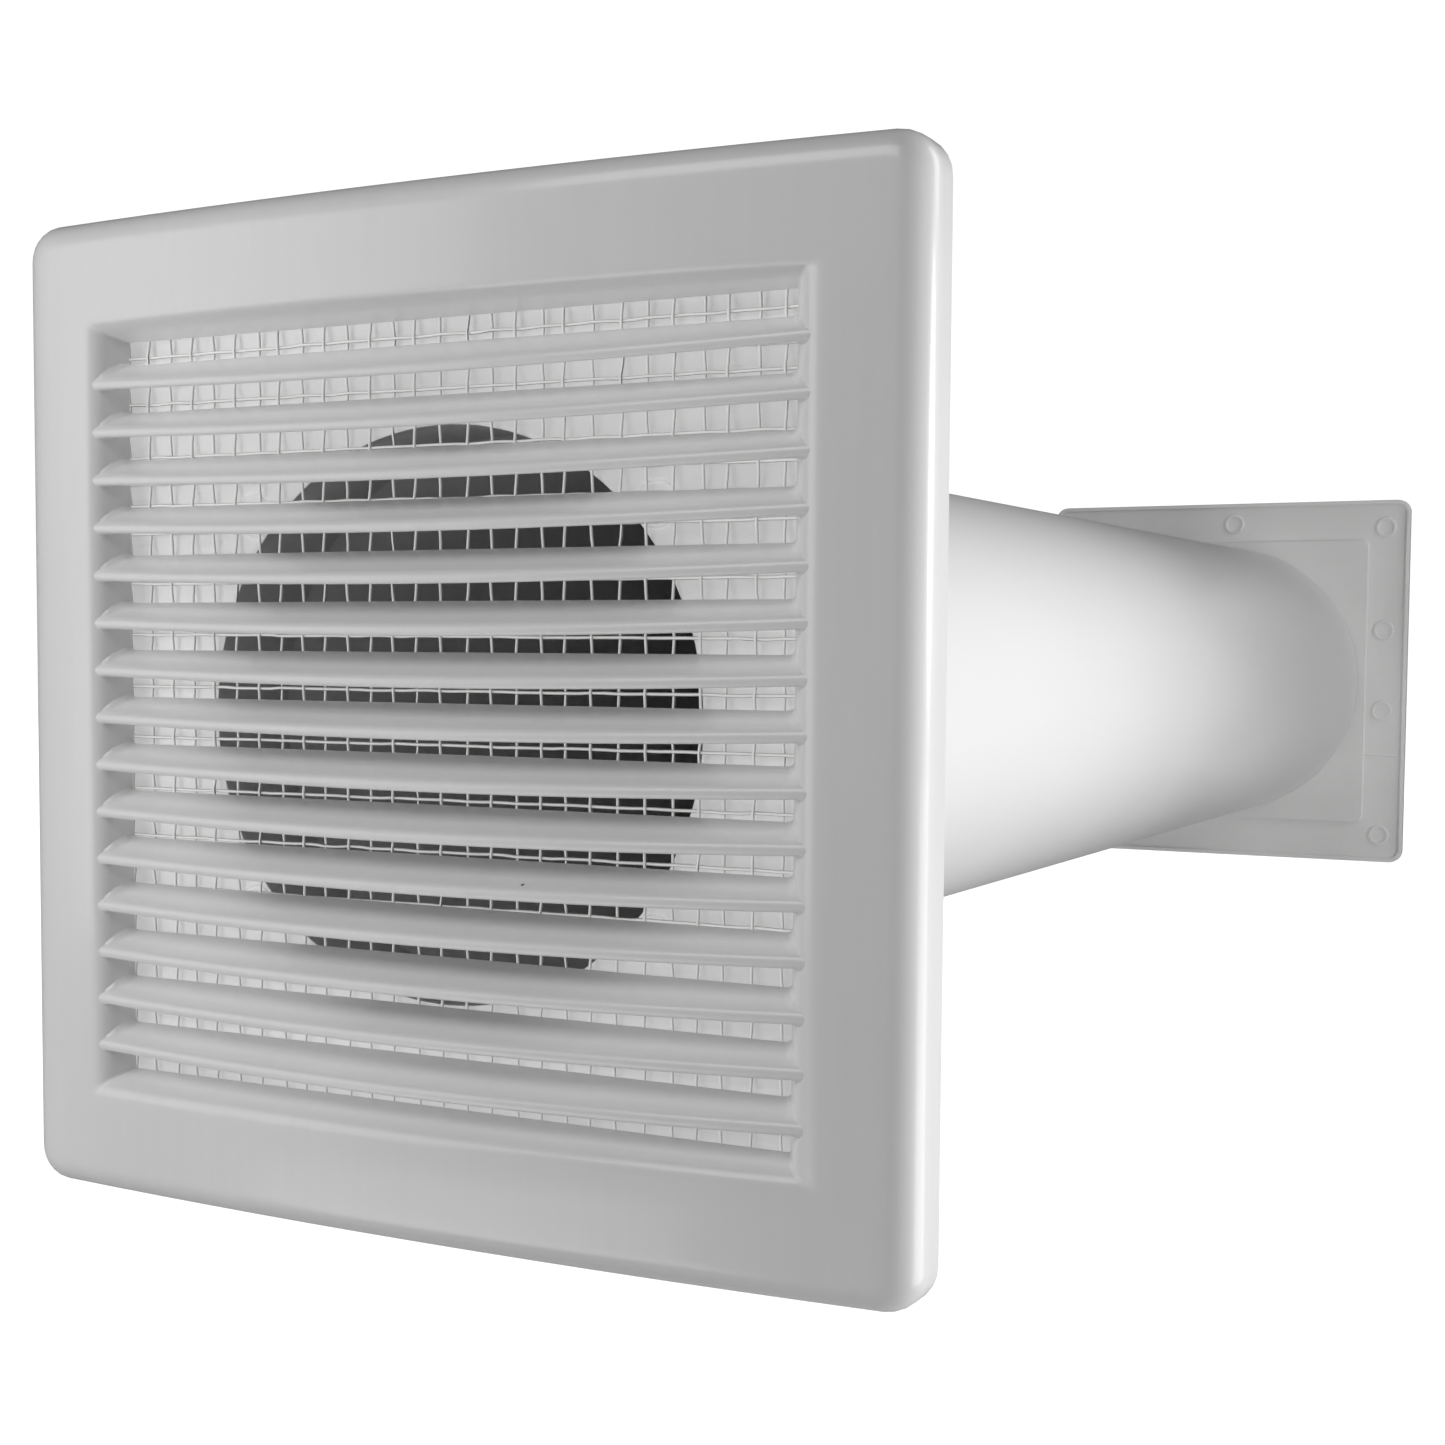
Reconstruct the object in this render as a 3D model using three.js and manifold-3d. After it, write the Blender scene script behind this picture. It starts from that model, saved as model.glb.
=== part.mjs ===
// Through-wall bathroom extractor fan: an outside louvred grille, a pipe through the wall, and a fan unit
// on the bathroom side. Millimetres. +X is right seen from outdoors, +Y runs through the wall into the
// bathroom, +Z is up. The origin is the centre of the wall opening on the outer wall face.
import * as THREE from "three";
import { mergeVertices } from "three/addons/utils/BufferGeometryUtils.js";
import Module from "manifold-3d";

const wasm = await Module();
wasm.setup();

// ---- Driving dimensions -------------------------------------------------------------------------

const WALL = 580; // outer wall face to inner wall face
const GAP = 0.3; // clearance between pieces that touch
const ROUND = 36; // sides of the pipe and the flanges
const INNER_ROUND = 28; // sides of the fan's inner pieces
const SHAFT_ROUND = 20; // sides of the shaft and what runs on it
const SMALL_ROUND = 10; // sides of a screw or a hole

const PIPE_R = 55; // 110 mm duct pipe
const PIPE_BORE_R = 52.8;

const GRILLE_HALF = 93; // 186 mm square outside grille
const GRILLE_CORNER = 7;
const GRILLE_DEPTH = 10; // at its left and right edges
const GRILLE_BOW = 4; // how far the middle of the front stands proud of the edges
const GRILLE_EDGE = 5.5; // rounding of the front edge
const GRILLE_SKIN = 2.6;
const SKIRT_INSIDE = 90.6; // half width inside the skirt
const WELL_BACK = -4.6; // depth of the louvre field's back plane
const WELL_HALF = 69.7; // half width of the louvre field at its back
const WELL_TOP = 69.5;
const WELL_BOTTOM = -69.3;
const WELL_SIDE_SLOPE = 0.8; // how fast the sides flare towards the front
const WELL_TOP_SLOPE = 0.37;
const WELL_BOTTOM_SLOPE = 0.5;

const LOUVRES = 15;
const LOUVRE_PITCH = 8.96;
const LOUVRE_TOP = 65.2; // height of the first louvre's back edge
const LOUVRE_SLOPE = 0.6; // fall of the blade towards the front
const LOUVRE_THICK = 1.5;

const NET_HALF = 73; // insect mesh
const NET_CELLS = 6;
const NET_WIRE = 1.2;
const NET_OVER = 0.4; // the level wires lie this far behind the upright ones
const NET_INSET = 0.2; // and stop this short of their ends

const FLANGE_HALF = 88.6; // outside flange plate
const FLANGE_FACE = -2.9;
const FLANGE_BACK = -1.3;
const SPIGOT_OUT_R = 52.4; // spigot of the flange plate, inside the pipe
const SPIGOT_IN_R = 51.2;
const SPIGOT_LENGTH = 18;
const FLANGE_HOLE = 80; // wall screw holes at (80, 80) and its mirrors
const FLANGE_HOLE_R = 2.25;
const FLANGE_RIM = 3; // width of the rim that rests on the wall
const FLANGE_MARKS = [42.4, 36.4]; // ring marks beside the opening
const FLANGE_MARK_R = 4.3;
const CATCH_HALF = 9; // half width of a catch that holds the grille

const BASE_HALF = 74; // 148 mm square base plate of the fan unit
const BASE_FIELD = 58; // half width of its raised inner field
const BASE_BAND = 1; // how far the border band lies below the field
const BASE_BACK = 3; // its bathroom face
const FAN_OUT_R = 49.8; // fan duct
const FAN_IN_R = 48.3;
const FAN_DUCT = 80; // how far the fan duct reaches into the pipe
const CABLE = [-57, -57]; // rear cable entry
const CABLE_HOLE_R = 7;
const CABLE_SEAT_R = 9.2; // counterbore that takes the grommet's rear lip below the wall face
const CABLE_SEAT = 1.4;
const BASE_RIM = 1.6; // width of the rim round the band
const UPSTAND_HALF = 68.4; // half width of the wall that centres the cover
const UPSTAND_WALL = 1.5;
const UPSTAND_TOP = 9;
const BASE_MARK_R = 4;
const RIDGE_Z = -30; // low step across the band
const BASE_MARKS = [
  [64.5, 63],
  [64.5, -63],
  [-64.5, 63],
  [-64.5, -63],
  [64.5, 21],
  [64.5, -12],
  [3, 65.5],
];

const STRUT_ANGLE = -75; // first of four struts, in degrees
const STRUT_HALF = 1.2; // half thickness of a strut
const RIM_R = 46.2; // bore of the carrier's outer rim
const RIM_FRONT = -58; // the rim and the screw lugs
const CUP_FLOOR = 2;
const CUP_R = 30.5; // motor cup
const CUP_WALL = 1.5;
const CUP_BACK = -74;
const CUP_MOUTH = -46;
const MOTOR_COVER_FACE = -43.7; // the motor cover's face towards the impeller
const BOSS_R = 6.5; // bosses round the bearings
const LUG_R = 3.4;
const SCREW_HOLE_R = 1.6;
const LUG_RADIUS = 33.5; // motor screws lie on this circle
const LUG_ANGLES = [-30, 90, 210];
const STATOR_R = 28.6;
const STATOR_BORE = 13.7;
const STATOR_FROM = -65.5;
const STATOR_TO = -50.5;
const POLES = 4;
const ROTOR_R = 13.3;
const SHAFT_R = 2;
const BORE_R = 2.06; // running bore for the shaft
const BEARING_R = 4;

const IMPELLER_BLADES = 7;
const IMPELLER_R = 45;
const HUB_R = 18;
const HUB_FROM = -36;
const HUB_TO = -12;

const DAMPER_PIN_Y = -87.6;
const DAMPER_FROM = -94; // outer end of the damper's ring
const DAMPER_BORE_R = 45.5;
const DAMPER_STOP_R = 42.5; // the stop lip reaches in to here
const DAMPER_STOP = [-86.6, -85];
const DAMPER_BAR = 2.2; // half width of the upright bar behind the pin
const DAMPER_BAR_Y = [-84.6, -80.6];
const SPRING_Z = [40.4, 44.2];
const DAMPER_R = 44.9; // radius of the closed flaps
const DAMPER_SLIT = 3.4; // each flap starts this far from the pin
const DAMPER_PLATE = 1.2;
const PIN_R = 1;
const KNUCKLE_R = 2.6;

const COVER_DEPTH = 32; // bathroom cover, from the wall
const COVER_SLOTS = 10;
const COVER_PITCH = 11;
const COVER_SLOT_HALF = 52; // half length of a slot

// ---- Helpers ------------------------------------------------------------------------------------

const rad = THREE.MathUtils.degToRad;

function plastic(color, roughness) {
  return new THREE.MeshStandardMaterial({ color, roughness, metalness: 0 });
}

function metal(color, roughness) {
  return new THREE.MeshStandardMaterial({ color, roughness, metalness: 1 });
}

// Turns a closed geometry into a solid that faces outwards.
function solid(geometry) {
  const plain = geometry.index ? geometry.toNonIndexed() : geometry.clone();
  plain.deleteAttribute("normal");
  plain.deleteAttribute("uv");
  const merged = mergeVertices(plain, 1e-4);
  const index = merged.index.array;
  const corners = [];
  for (let i = 0; i < index.length; i += 3) {
    const [a, b, c] = [index[i], index[i + 1], index[i + 2]];
    if (a !== b && b !== c && c !== a) corners.push(a, b, c);
  }
  const build = (triVerts) =>
    new wasm.Manifold(
      new wasm.Mesh({
        numProp: 3,
        vertProperties: merged.attributes.position.array,
        triVerts: new Uint32Array(triVerts),
      }),
    );
  const made = build(corners);
  return made.volume() > 0 ? made : build(corners.reverse());
}

function join(...solids) {
  return solids.reduce((whole, piece) => whole.add(piece));
}

function cut(body, ...tools) {
  return tools.reduce((whole, tool) => whole.subtract(tool), body);
}

function box(x0, x1, y0, y1, z0, z1) {
  const block = new THREE.BoxGeometry(x1 - x0, y1 - y0, z1 - z0);
  return solid(block.translate((x0 + x1) / 2, (y0 + y1) / 2, (z0 + z1) / 2));
}

// A profile of [radius, y] points turned about the Y axis.
function revolve(profile, sides = ROUND) {
  const points = profile.map(([r, y]) => new THREE.Vector2(r, y));
  return solid(new THREE.LatheGeometry(points, sides));
}

function disc(r, y0, y1, sides = ROUND) {
  return revolve([[0, y0], [r, y0], [r, y1], [0, y1]], sides);
}

function ring(inner, outer, y0, y1, sides = ROUND) {
  const profile = [[inner, y0], [outer, y0], [outer, y1], [inner, y1], [inner, y0]];
  return revolve(profile, sides);
}

// A shape drawn in X and Z, extruded from y0 to y1.
function prism(shape, y0, y1, curveSegments = 5) {
  const options = { depth: y1 - y0, bevelEnabled: false, curveSegments };
  const geometry = new THREE.ExtrudeGeometry(shape, options);
  return solid(geometry.rotateX(Math.PI / 2).translate(0, y1, 0));
}

function roundedSquare(half, corner) {
  const shape = new THREE.Shape();
  const c = half - corner;
  shape.absarc(c, c, corner, 0, Math.PI / 2);
  shape.absarc(-c, c, corner, Math.PI / 2, Math.PI);
  shape.absarc(-c, -c, corner, Math.PI, 1.5 * Math.PI);
  shape.absarc(c, -c, corner, 1.5 * Math.PI, 2 * Math.PI);
  return shape;
}

// A solid skinned over rings of points, [x, y, z], with the same number of points in each.
function loft(rings) {
  const count = rings[0].length;
  const last = (rings.length - 1) * count;
  const faces = [];
  for (let start = 0; start < last; start += count) {
    for (let i = 0; i < count; i++) {
      const a = start + i;
      const b = start + ((i + 1) % count);
      faces.push(a, b, b + count, a, b + count, a + count);
    }
  }
  for (let i = 1; i < count - 1; i++) {
    faces.push(0, i + 1, i, last, last + i, last + i + 1);
  }
  const positions = new THREE.Float32BufferAttribute(rings.flat(2), 3);
  return solid(new THREE.BufferGeometry().setAttribute("position", positions).setIndex(faces));
}

function moved(body, x, y, z) {
  return body.translate([x, y, z]);
}

// Turns a solid about the duct axis.
function turned(body, degrees) {
  return body.rotate([0, degrees, 0]);
}

function node(name, body, material, parent) {
  const { vertProperties, triVerts } = body.getMesh();
  const geometry = new THREE.BufferGeometry();
  geometry.setAttribute("position", new THREE.BufferAttribute(vertProperties, 3));
  geometry.setIndex(new THREE.BufferAttribute(triVerts, 1));
  const mesh = new THREE.Mesh(geometry, material);
  mesh.name = name;
  parent.add(mesh);
  return mesh;
}

// ---- Materials ----------------------------------------------------------------------------------

const whitePlastic = plastic(0xdadada, 0.38);
const pipePlastic = plastic(0xf2f2f2, 0.4);
const basePlastic = plastic(0xcfcfcd, 0.45);
const innerPlastic = plastic(0xe4e4e0, 0.5);
const darkPlastic = plastic(0x3a3c3e, 0.55);
const netWire = plastic(0xe8e8e8, 0.5);
const foam = plastic(0x4a4a4c, 0.95);
const rubber = plastic(0x222223, 0.8);
const steel = metal(0xb4b6b8, 0.3);
const laminations = metal(0x7a7c80, 0.5);
const bronze = metal(0xb08a52, 0.45);
const brass = metal(0xc9a24e, 0.35);
const enamel = metal(0xa8521e, 0.4);
const brownLead = plastic(0x6b3a1e, 0.5);
const blueLead = plastic(0x2a5fa8, 0.5);

const part = new THREE.Group();
const fan = new THREE.Group(); // the fan unit is drawn from the inner wall face
fan.position.y = WALL;
part.add(fan);

// ---- Outside grille -----------------------------------------------------------------------------

const mirrored = (stations) => [...stations.map((x) => -x), 0, ...stations.toReversed()];

// Depth of the grille's front at x: bowed in plan, and rounded off at the left and right edges.
function grilleFront(x) {
  const intoEdge = Math.abs(x) - (GRILLE_HALF - GRILLE_EDGE);
  const bow = GRILLE_BOW * (1 - (x / GRILLE_HALF) ** 2);
  const drop = intoEdge > 0 ? GRILLE_EDGE - Math.sqrt(GRILLE_EDGE ** 2 - intoEdge ** 2) : 0;
  return -GRILLE_DEPTH - bow + drop;
}

function grilleSection(x) {
  const intoCorner = Math.max(0, Math.abs(x) - (GRILLE_HALF - GRILLE_CORNER));
  const rounding = Math.sqrt(GRILLE_CORNER ** 2 - intoCorner ** 2);
  const half = GRILLE_HALF - GRILLE_CORNER + rounding;
  const front = grilleFront(x);
  const r = Math.min(GRILLE_EDGE, -front - 1);
  const points = [[x, 0, -half]];
  const steps = 4;
  for (let i = 0; i <= steps; i++) {
    const a = (i / steps) * (Math.PI / 2);
    points.push([x, front + r * (1 - Math.sin(a)), -half + r * (1 - Math.cos(a))]);
  }
  for (let i = 0; i <= steps; i++) {
    const a = (i / steps) * (Math.PI / 2);
    points.push([x, front + r * (1 - Math.cos(a)), half - r * (1 - Math.sin(a))]);
  }
  points.push([x, 0, half]);
  return points;
}

// A rectangle of the louvre field's flared opening at depth y.
function wellSection(y) {
  const out = WELL_BACK - y;
  const side = WELL_HALF + WELL_SIDE_SLOPE * out;
  const top = WELL_TOP + WELL_TOP_SLOPE * out;
  const bottom = WELL_BOTTOM - WELL_BOTTOM_SLOPE * out;
  return [[-side, y, bottom], [side, y, bottom], [side, y, top], [-side, y, top]];
}

function louvre(backEdge) {
  const sections = mirrored([75.5, 50, 25]).map((x) => {
    const nose = grilleFront(x) + 0.6;
    const z = (y) => backEdge - LOUVRE_SLOPE * (WELL_BACK - y);
    return [
      [x, WELL_BACK, backEdge],
      [x, nose + 0.7, z(nose + 0.7)],
      [x, nose + 0.15, z(nose + 0.7) - 0.4],
      [x, nose, z(nose + 0.7) - 0.9],
      [x, nose + 0.3, z(nose + 0.7) - 1.3],
      [x, nose + 1.2, z(nose + 1.2) - LOUVRE_THICK],
      [x, WELL_BACK, backEdge - LOUVRE_THICK],
    ];
  });
  return loft(sections);
}

function outerGrille() {
  const shell = loft(mirrored([93, 92.4, 91, 89, 86.5, 50, 25]).map(grilleSection));
  const blockHalf = 77.5; // the solid frame round the louvre field
  const pocketHalf = 85; // the hollow behind the border
  const pocketSection = (x) => {
    const front = grilleFront(x) + GRILLE_SKIN;
    return [[x, front, -pocketHalf], [x, front, pocketHalf], [x, 1, pocketHalf], [x, 1, -pocketHalf]];
  };
  const pocket = loft(mirrored([pocketHalf, 50, 25]).map(pocketSection));
  const skirtPocket = prism(roundedSquare(SKIRT_INSIDE, 5), -6.2, 1);
  const block = box(-blockHalf, blockHalf, -30, WELL_BACK, -blockHalf, blockHalf);
  const hollow = cut(join(pocket, skirtPocket), block);
  const well = loft([wellSection(WELL_BACK + 1), wellSection(-20)]);
  const blades = Array.from({ length: LOUVRES }, (_, k) => louvre(LOUVRE_TOP - k * LOUVRE_PITCH));
  return join(cut(shell, hollow, well), ...blades);
}

function insectMesh() {
  const pitch = (2 * NET_HALF - NET_WIRE) / NET_CELLS;
  const y0 = WELL_BACK + GAP;
  const y1 = y0 + NET_WIRE;
  const starts = Array.from({ length: NET_CELLS + 1 }, (_, k) => -NET_HALF + k * pitch);
  const reach = NET_HALF - NET_INSET;
  const standing = starts.map((s) => box(s, s + NET_WIRE, y0, y1 - NET_OVER, -NET_HALF, NET_HALF));
  const level = starts.map((s) =>
    box(-reach, reach, y0 + NET_OVER, y1, Math.max(s, -reach), Math.min(s + NET_WIRE, reach)),
  );
  return join(...standing, ...level);
}

node("outer_grille", outerGrille(), whitePlastic, part);
node("insect_mesh", insectMesh(), netWire, part);

// ---- Outside flange plate, gasket and pipe ------------------------------------------------------

const fourWays = (x, z) => [[x, z], [-x, z], [x, -z], [-x, -z]];

function outerFlangePlate() {
  const plate = prism(roundedSquare(FLANGE_HALF, 5), FLANGE_FACE, 0);
  const recess = prism(roundedSquare(FLANGE_HALF - FLANGE_RIM, 3), FLANGE_BACK, 1);
  const spigot = ring(SPIGOT_IN_R, SPIGOT_OUT_R, FLANGE_FACE, SPIGOT_LENGTH);
  const marks = fourWays(...FLANGE_MARKS).map(([x, z]) =>
    moved(disc(FLANGE_MARK_R, FLANGE_FACE - 0.15, FLANGE_FACE + 0.5, SMALL_ROUND), x, 0, z),
  );
  const catches = [0, 90, 180, 270].map((side) =>
    turned(
      box(-CATCH_HALF, CATCH_HALF, FLANGE_FACE, -0.6, FLANGE_HALF - 1, FLANGE_HALF + 1.4),
      side,
    ),
  );
  const holes = fourWays(FLANGE_HOLE, FLANGE_HOLE).map(([x, z]) =>
    moved(disc(FLANGE_HOLE_R, -9, 1, SMALL_ROUND), x, 0, z),
  );
  const body = cut(plate, recess, disc(SPIGOT_IN_R, -9, 9));
  return cut(join(body, spigot, ...marks, ...catches), ...holes);
}

node("outer_flange_plate", outerFlangePlate(), whitePlastic, part);
node("outer_gasket", ring(PIPE_R + 1, PIPE_R + 14, FLANGE_BACK + GAP, 0), foam, part);
node("wall_sleeve", ring(PIPE_BORE_R, PIPE_R, FLANGE_BACK + GAP, WALL - GAP), pipePlastic, part);

// ---- Fan base plate and its seal ----------------------------------------------------------------

const LEAD_CIRCLE = 51.3; // the leads pass through the base plate this far from the axis
const LEADS = [12.4, 16.4].map((x) => ({ x, z: -Math.sqrt(LEAD_CIRCLE ** 2 - x ** 2) }));
const LEAD_R = 0.9;
const LEAD_HOLE_R = 1.35;

function fanBasePlate() {
  const plate = prism(roundedSquare(BASE_HALF, 5), BASE_BAND, BASE_BACK);
  const field = prism(roundedSquare(BASE_FIELD, 3), 0, BASE_BAND + 0.5);
  const rim = cut(
    prism(roundedSquare(BASE_HALF, 5), 0, BASE_BAND + 0.5),
    prism(roundedSquare(BASE_HALF - BASE_RIM, 4), -1, 2),
  );
  const upstand = cut(
    prism(roundedSquare(UPSTAND_HALF, 4), BASE_BACK - 0.5, UPSTAND_TOP),
    prism(roundedSquare(UPSTAND_HALF - UPSTAND_WALL, 3), 0, UPSTAND_TOP + 1),
  );
  const marks = BASE_MARKS.map(([x, z]) =>
    moved(disc(BASE_MARK_R, BASE_BAND - 0.5, BASE_BAND + 0.5, SMALL_ROUND), x, 0, z),
  );
  const ridge = box(
    BASE_FIELD - 1,
    BASE_HALF - 1,
    BASE_BAND - 0.3,
    BASE_BAND + 0.5,
    RIDGE_Z - 0.4,
    RIDGE_Z + 0.4,
  );
  const duct = ring(FAN_IN_R, FAN_OUT_R, -FAN_DUCT, BASE_BACK);
  const inlet = revolve([
    [FAN_IN_R, -3],
    [FAN_OUT_R + 4, 2],
    [FAN_OUT_R + 4, 4.5],
    [FAN_OUT_R + 1, 4.5],
    [FAN_IN_R, 0],
    [FAN_IN_R, -3],
  ]);
  const leadSlot = box(9, 20, -53, -46, -53, -44);
  const leadHoles = LEADS.map(({ x, z }) => moved(disc(LEAD_HOLE_R, -6, 6, SMALL_ROUND), x, 0, z));
  const cableHole = moved(disc(CABLE_HOLE_R, -2, 6, SMALL_ROUND), CABLE[0], 0, CABLE[1]);
  const body = cut(join(plate, field, rim, upstand, ridge, ...marks), disc(FAN_IN_R + 0.5, -2, 6));
  const cableSeat = moved(disc(CABLE_SEAT_R, -2, CABLE_SEAT, SMALL_ROUND), CABLE[0], 0, CABLE[1]);
  return cut(join(body, duct, inlet), leadSlot, ...leadHoles, cableHole, cableSeat);
}

function spigotSeal() {
  return revolve([
    [FAN_OUT_R + GAP, -70],
    [PIPE_BORE_R - GAP, -65],
    [FAN_OUT_R + GAP, -60],
    [FAN_OUT_R + GAP, -70],
  ]);
}

node("fan_base_plate", fanBasePlate(), basePlastic, fan);
node("spigot_seal", spigotSeal(), rubber, fan);

// ---- Backdraught damper -------------------------------------------------------------------------

// Stands a solid of revolution along Z instead of Y.
const stood = (body) => body.rotate([90, 0, 0]);

function pinPiece(inner, outer, z0, z1) {
  const piece = inner ? ring(inner, outer, z0, z1, 16) : disc(outer, z0, z1, 16);
  return moved(stood(piece), 0, DAMPER_PIN_Y, 0);
}

function damperFrame() {
  const body = revolve([
    [DAMPER_BORE_R, DAMPER_FROM],
    [FAN_OUT_R, DAMPER_FROM],
    [FAN_OUT_R, -FAN_DUCT - GAP],
    [FAN_IN_R - GAP, -FAN_DUCT - GAP],
    [FAN_IN_R - GAP, CUP_BACK - 1],
    [DAMPER_BORE_R, CUP_BACK - 1],
    [DAMPER_BORE_R, DAMPER_FROM],
  ]);
  const intoRing = DAMPER_BORE_R + 0.5; // the lip and the bar run this far into the ring
  const stop = ring(DAMPER_STOP_R, intoRing, ...DAMPER_STOP);
  const bar = box(-DAMPER_BAR, DAMPER_BAR, ...DAMPER_BAR_Y, -intoRing, intoRing);
  const pinHole = pinPiece(0, PIN_R + 0.1, -60, 60);
  const springPocket = box(-3, 3, DAMPER_FROM, DAMPER_STOP[1], DAMPER_STOP_R - 0.5, DAMPER_BORE_R);
  return cut(join(body, stop, bar), pinHole, springPocket);
}

const LEFT_KNUCKLES = [[8, 24], [-24, -8]];
const RIGHT_KNUCKLES = [[-7, 7], [25, 40], [-40, -25]];

// A half-disc flap. side is -1 for the left flap and 1 for the right.
function damperFlap(side, knuckles) {
  const shape = new THREE.Shape();
  const reach = Math.acos(DAMPER_SLIT / DAMPER_R);
  const middle = side > 0 ? 0 : Math.PI;
  shape.absarc(0, 0, DAMPER_R, middle - reach, middle + reach);
  const y0 = DAMPER_PIN_Y - DAMPER_PLATE / 2;
  const y1 = DAMPER_PIN_Y + DAMPER_PLATE / 2;
  const plate = prism(shape, y0, y1, 10);
  const webs = knuckles.map(([z0, z1]) => {
    const [x0, x1] = side > 0 ? [1.9, DAMPER_SLIT + 1] : [-DAMPER_SLIT - 1, -1.9];
    return box(x0, x1, y0, y1, z0, z1);
  });
  const barrels = knuckles.map(([z0, z1]) => pinPiece(0, KNUCKLE_R, z0, z1));
  return cut(join(plate, ...webs, ...barrels), pinPiece(0, PIN_R + 0.06, -60, 60));
}

node("damper_frame", damperFrame(), darkPlastic, fan);
node("damper_pin", pinPiece(0, PIN_R, -49, 49), steel, fan);
node("damper_flap_left", damperFlap(-1, LEFT_KNUCKLES), innerPlastic, fan);
node("damper_flap_right", damperFlap(1, RIGHT_KNUCKLES), innerPlastic, fan);
node("damper_spring", pinPiece(PIN_R + 0.2, 2.2, ...SPRING_Z), steel, fan);

// ---- Motor --------------------------------------------------------------------------------------

const polar = (r, degrees) => [r * Math.cos(rad(degrees)), r * Math.sin(rad(degrees))];
const lugPlaces = LUG_ANGLES.map((angle) => polar(LUG_RADIUS, angle));
const onLugs = (body) => lugPlaces.map(([x, z]) => moved(body, x, 0, z));

function motorCarrier() {
  const rim = ring(RIM_R, FAN_IN_R - GAP, CUP_BACK, RIM_FRONT);
  const cup = ring(CUP_R - CUP_WALL, CUP_R, CUP_BACK, CUP_MOUTH, INNER_ROUND);
  const floor = disc(CUP_R, CUP_BACK, CUP_BACK + CUP_FLOOR, INNER_ROUND);
  const boss = disc(BOSS_R, CUP_BACK, -66.5, SHAFT_ROUND);
  const struts = [0, 90, 180, 270].map((a) =>
    turned(
      box(CUP_R - 1, RIM_R + 1, CUP_BACK, RIM_FRONT - 2, -STRUT_HALF, STRUT_HALF),
      -(STRUT_ANGLE + a),
    ),
  );
  const lugs = onLugs(disc(LUG_R, RIM_FRONT, CUP_MOUTH, SMALL_ROUND));
  const hollow = disc(CUP_R - CUP_WALL, CUP_BACK + CUP_FLOOR, 0, INNER_ROUND);
  const keepBoss = cut(hollow, boss);
  const body = cut(join(rim, cup, floor, boss, ...struts, ...lugs), keepBoss);
  const screwHoles = onLugs(disc(SCREW_HOLE_R, RIM_FRONT + 2, 0, SMALL_ROUND));
  return cut(body, disc(BEARING_R + GAP, CUP_BACK + CUP_FLOOR, 0, SHAFT_ROUND), ...screwHoles);
}

function statorCore() {
  const shape = new THREE.Shape();
  shape.absarc(0, 0, STATOR_R, 0, 2 * Math.PI);
  const bore = new THREE.Path();
  const shoeR = 16.2;
  const slotR = 23.5;
  const neckHalf = 4;
  const shoe = 37;
  const step = 360 / POLES;
  const neckAt = (r) => THREE.MathUtils.radToDeg(Math.asin(neckHalf / r));
  const outline = [];
  for (let k = 0; k < POLES; k++) {
    const pole = k * step;
    for (let i = -4; i <= 4; i++) outline.push(polar(STATOR_BORE, pole + (i / 4) * shoe));
    outline.push(polar(shoeR, pole + shoe));
    outline.push(polar(shoeR, pole + neckAt(shoeR)));
    outline.push(polar(slotR, pole + neckAt(slotR)));
    for (let i = 1; i < 4; i++) {
      outline.push(polar(slotR, pole + neckAt(slotR) + (i / 4) * (step - 2 * neckAt(slotR))));
    }
    outline.push(polar(slotR, pole + step - neckAt(slotR)));
    outline.push(polar(shoeR, pole + step - neckAt(shoeR)));
    outline.push(polar(shoeR, pole + step - shoe));
  }
  bore.setFromPoints(outline.map(([x, z]) => new THREE.Vector2(x, z)));
  shape.holes.push(bore);
  return prism(shape, STATOR_FROM, STATOR_TO, 24);
}

// One coil, wound round the neck of the pole that points along +X.
function statorCoil() {
  const middle = (STATOR_FROM + STATOR_TO) / 2;
  const stack = (STATOR_TO - STATOR_FROM) / 2;
  const winding = box(16.8, 21.6, middle - stack - 3, middle + stack + 3, -7.2, 7.2);
  return cut(winding, box(16, 24, middle - stack - GAP, middle + stack + GAP, -4.3, 4.3));
}

function motorCover() {
  const plate = disc(CUP_R, CUP_MOUTH + GAP, MOTOR_COVER_FACE, INNER_ROUND);
  const boss = disc(BOSS_R, MOTOR_COVER_FACE - 0.3, -39.5, SHAFT_ROUND);
  const ears = onLugs(disc(LUG_R, CUP_MOUTH + GAP, MOTOR_COVER_FACE, SMALL_ROUND));
  const vents = Array.from({ length: 8 }, (_, k) =>
    turned(box(12, 24, -50, -40, -1.6, 1.6), k * 45 + 22.5),
  );
  const screwHoles = onLugs(disc(SCREW_HOLE_R, -50, -40, SMALL_ROUND));
  const bearingSeat = disc(BEARING_R + GAP, -50, -40.5, SHAFT_ROUND);
  const shaftHole = disc(SHAFT_R + 0.6, -50, 0, SHAFT_ROUND);
  return cut(join(plate, boss, ...ears), ...vents, ...screwHoles, bearingSeat, shaftHole);
}

// A pan-head screw along Y, with its head's underside at y = 0 and its shank towards -Y.
function screw(headR, headHeight, shankR, length) {
  const body = revolve(
    [
      [0, -length],
      [shankR, -length],
      [shankR, 0],
      [headR, 0],
      [headR * 0.8, headHeight],
      [0, headHeight],
    ],
    SMALL_ROUND,
  );
  const wing = headR * 0.55;
  return cut(body, box(-wing, wing, headHeight * 0.4, headHeight + 1, -0.3, 0.3));
}

function place(mesh, x, y, z) {
  mesh.position.set(x, y, z);
}

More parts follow.
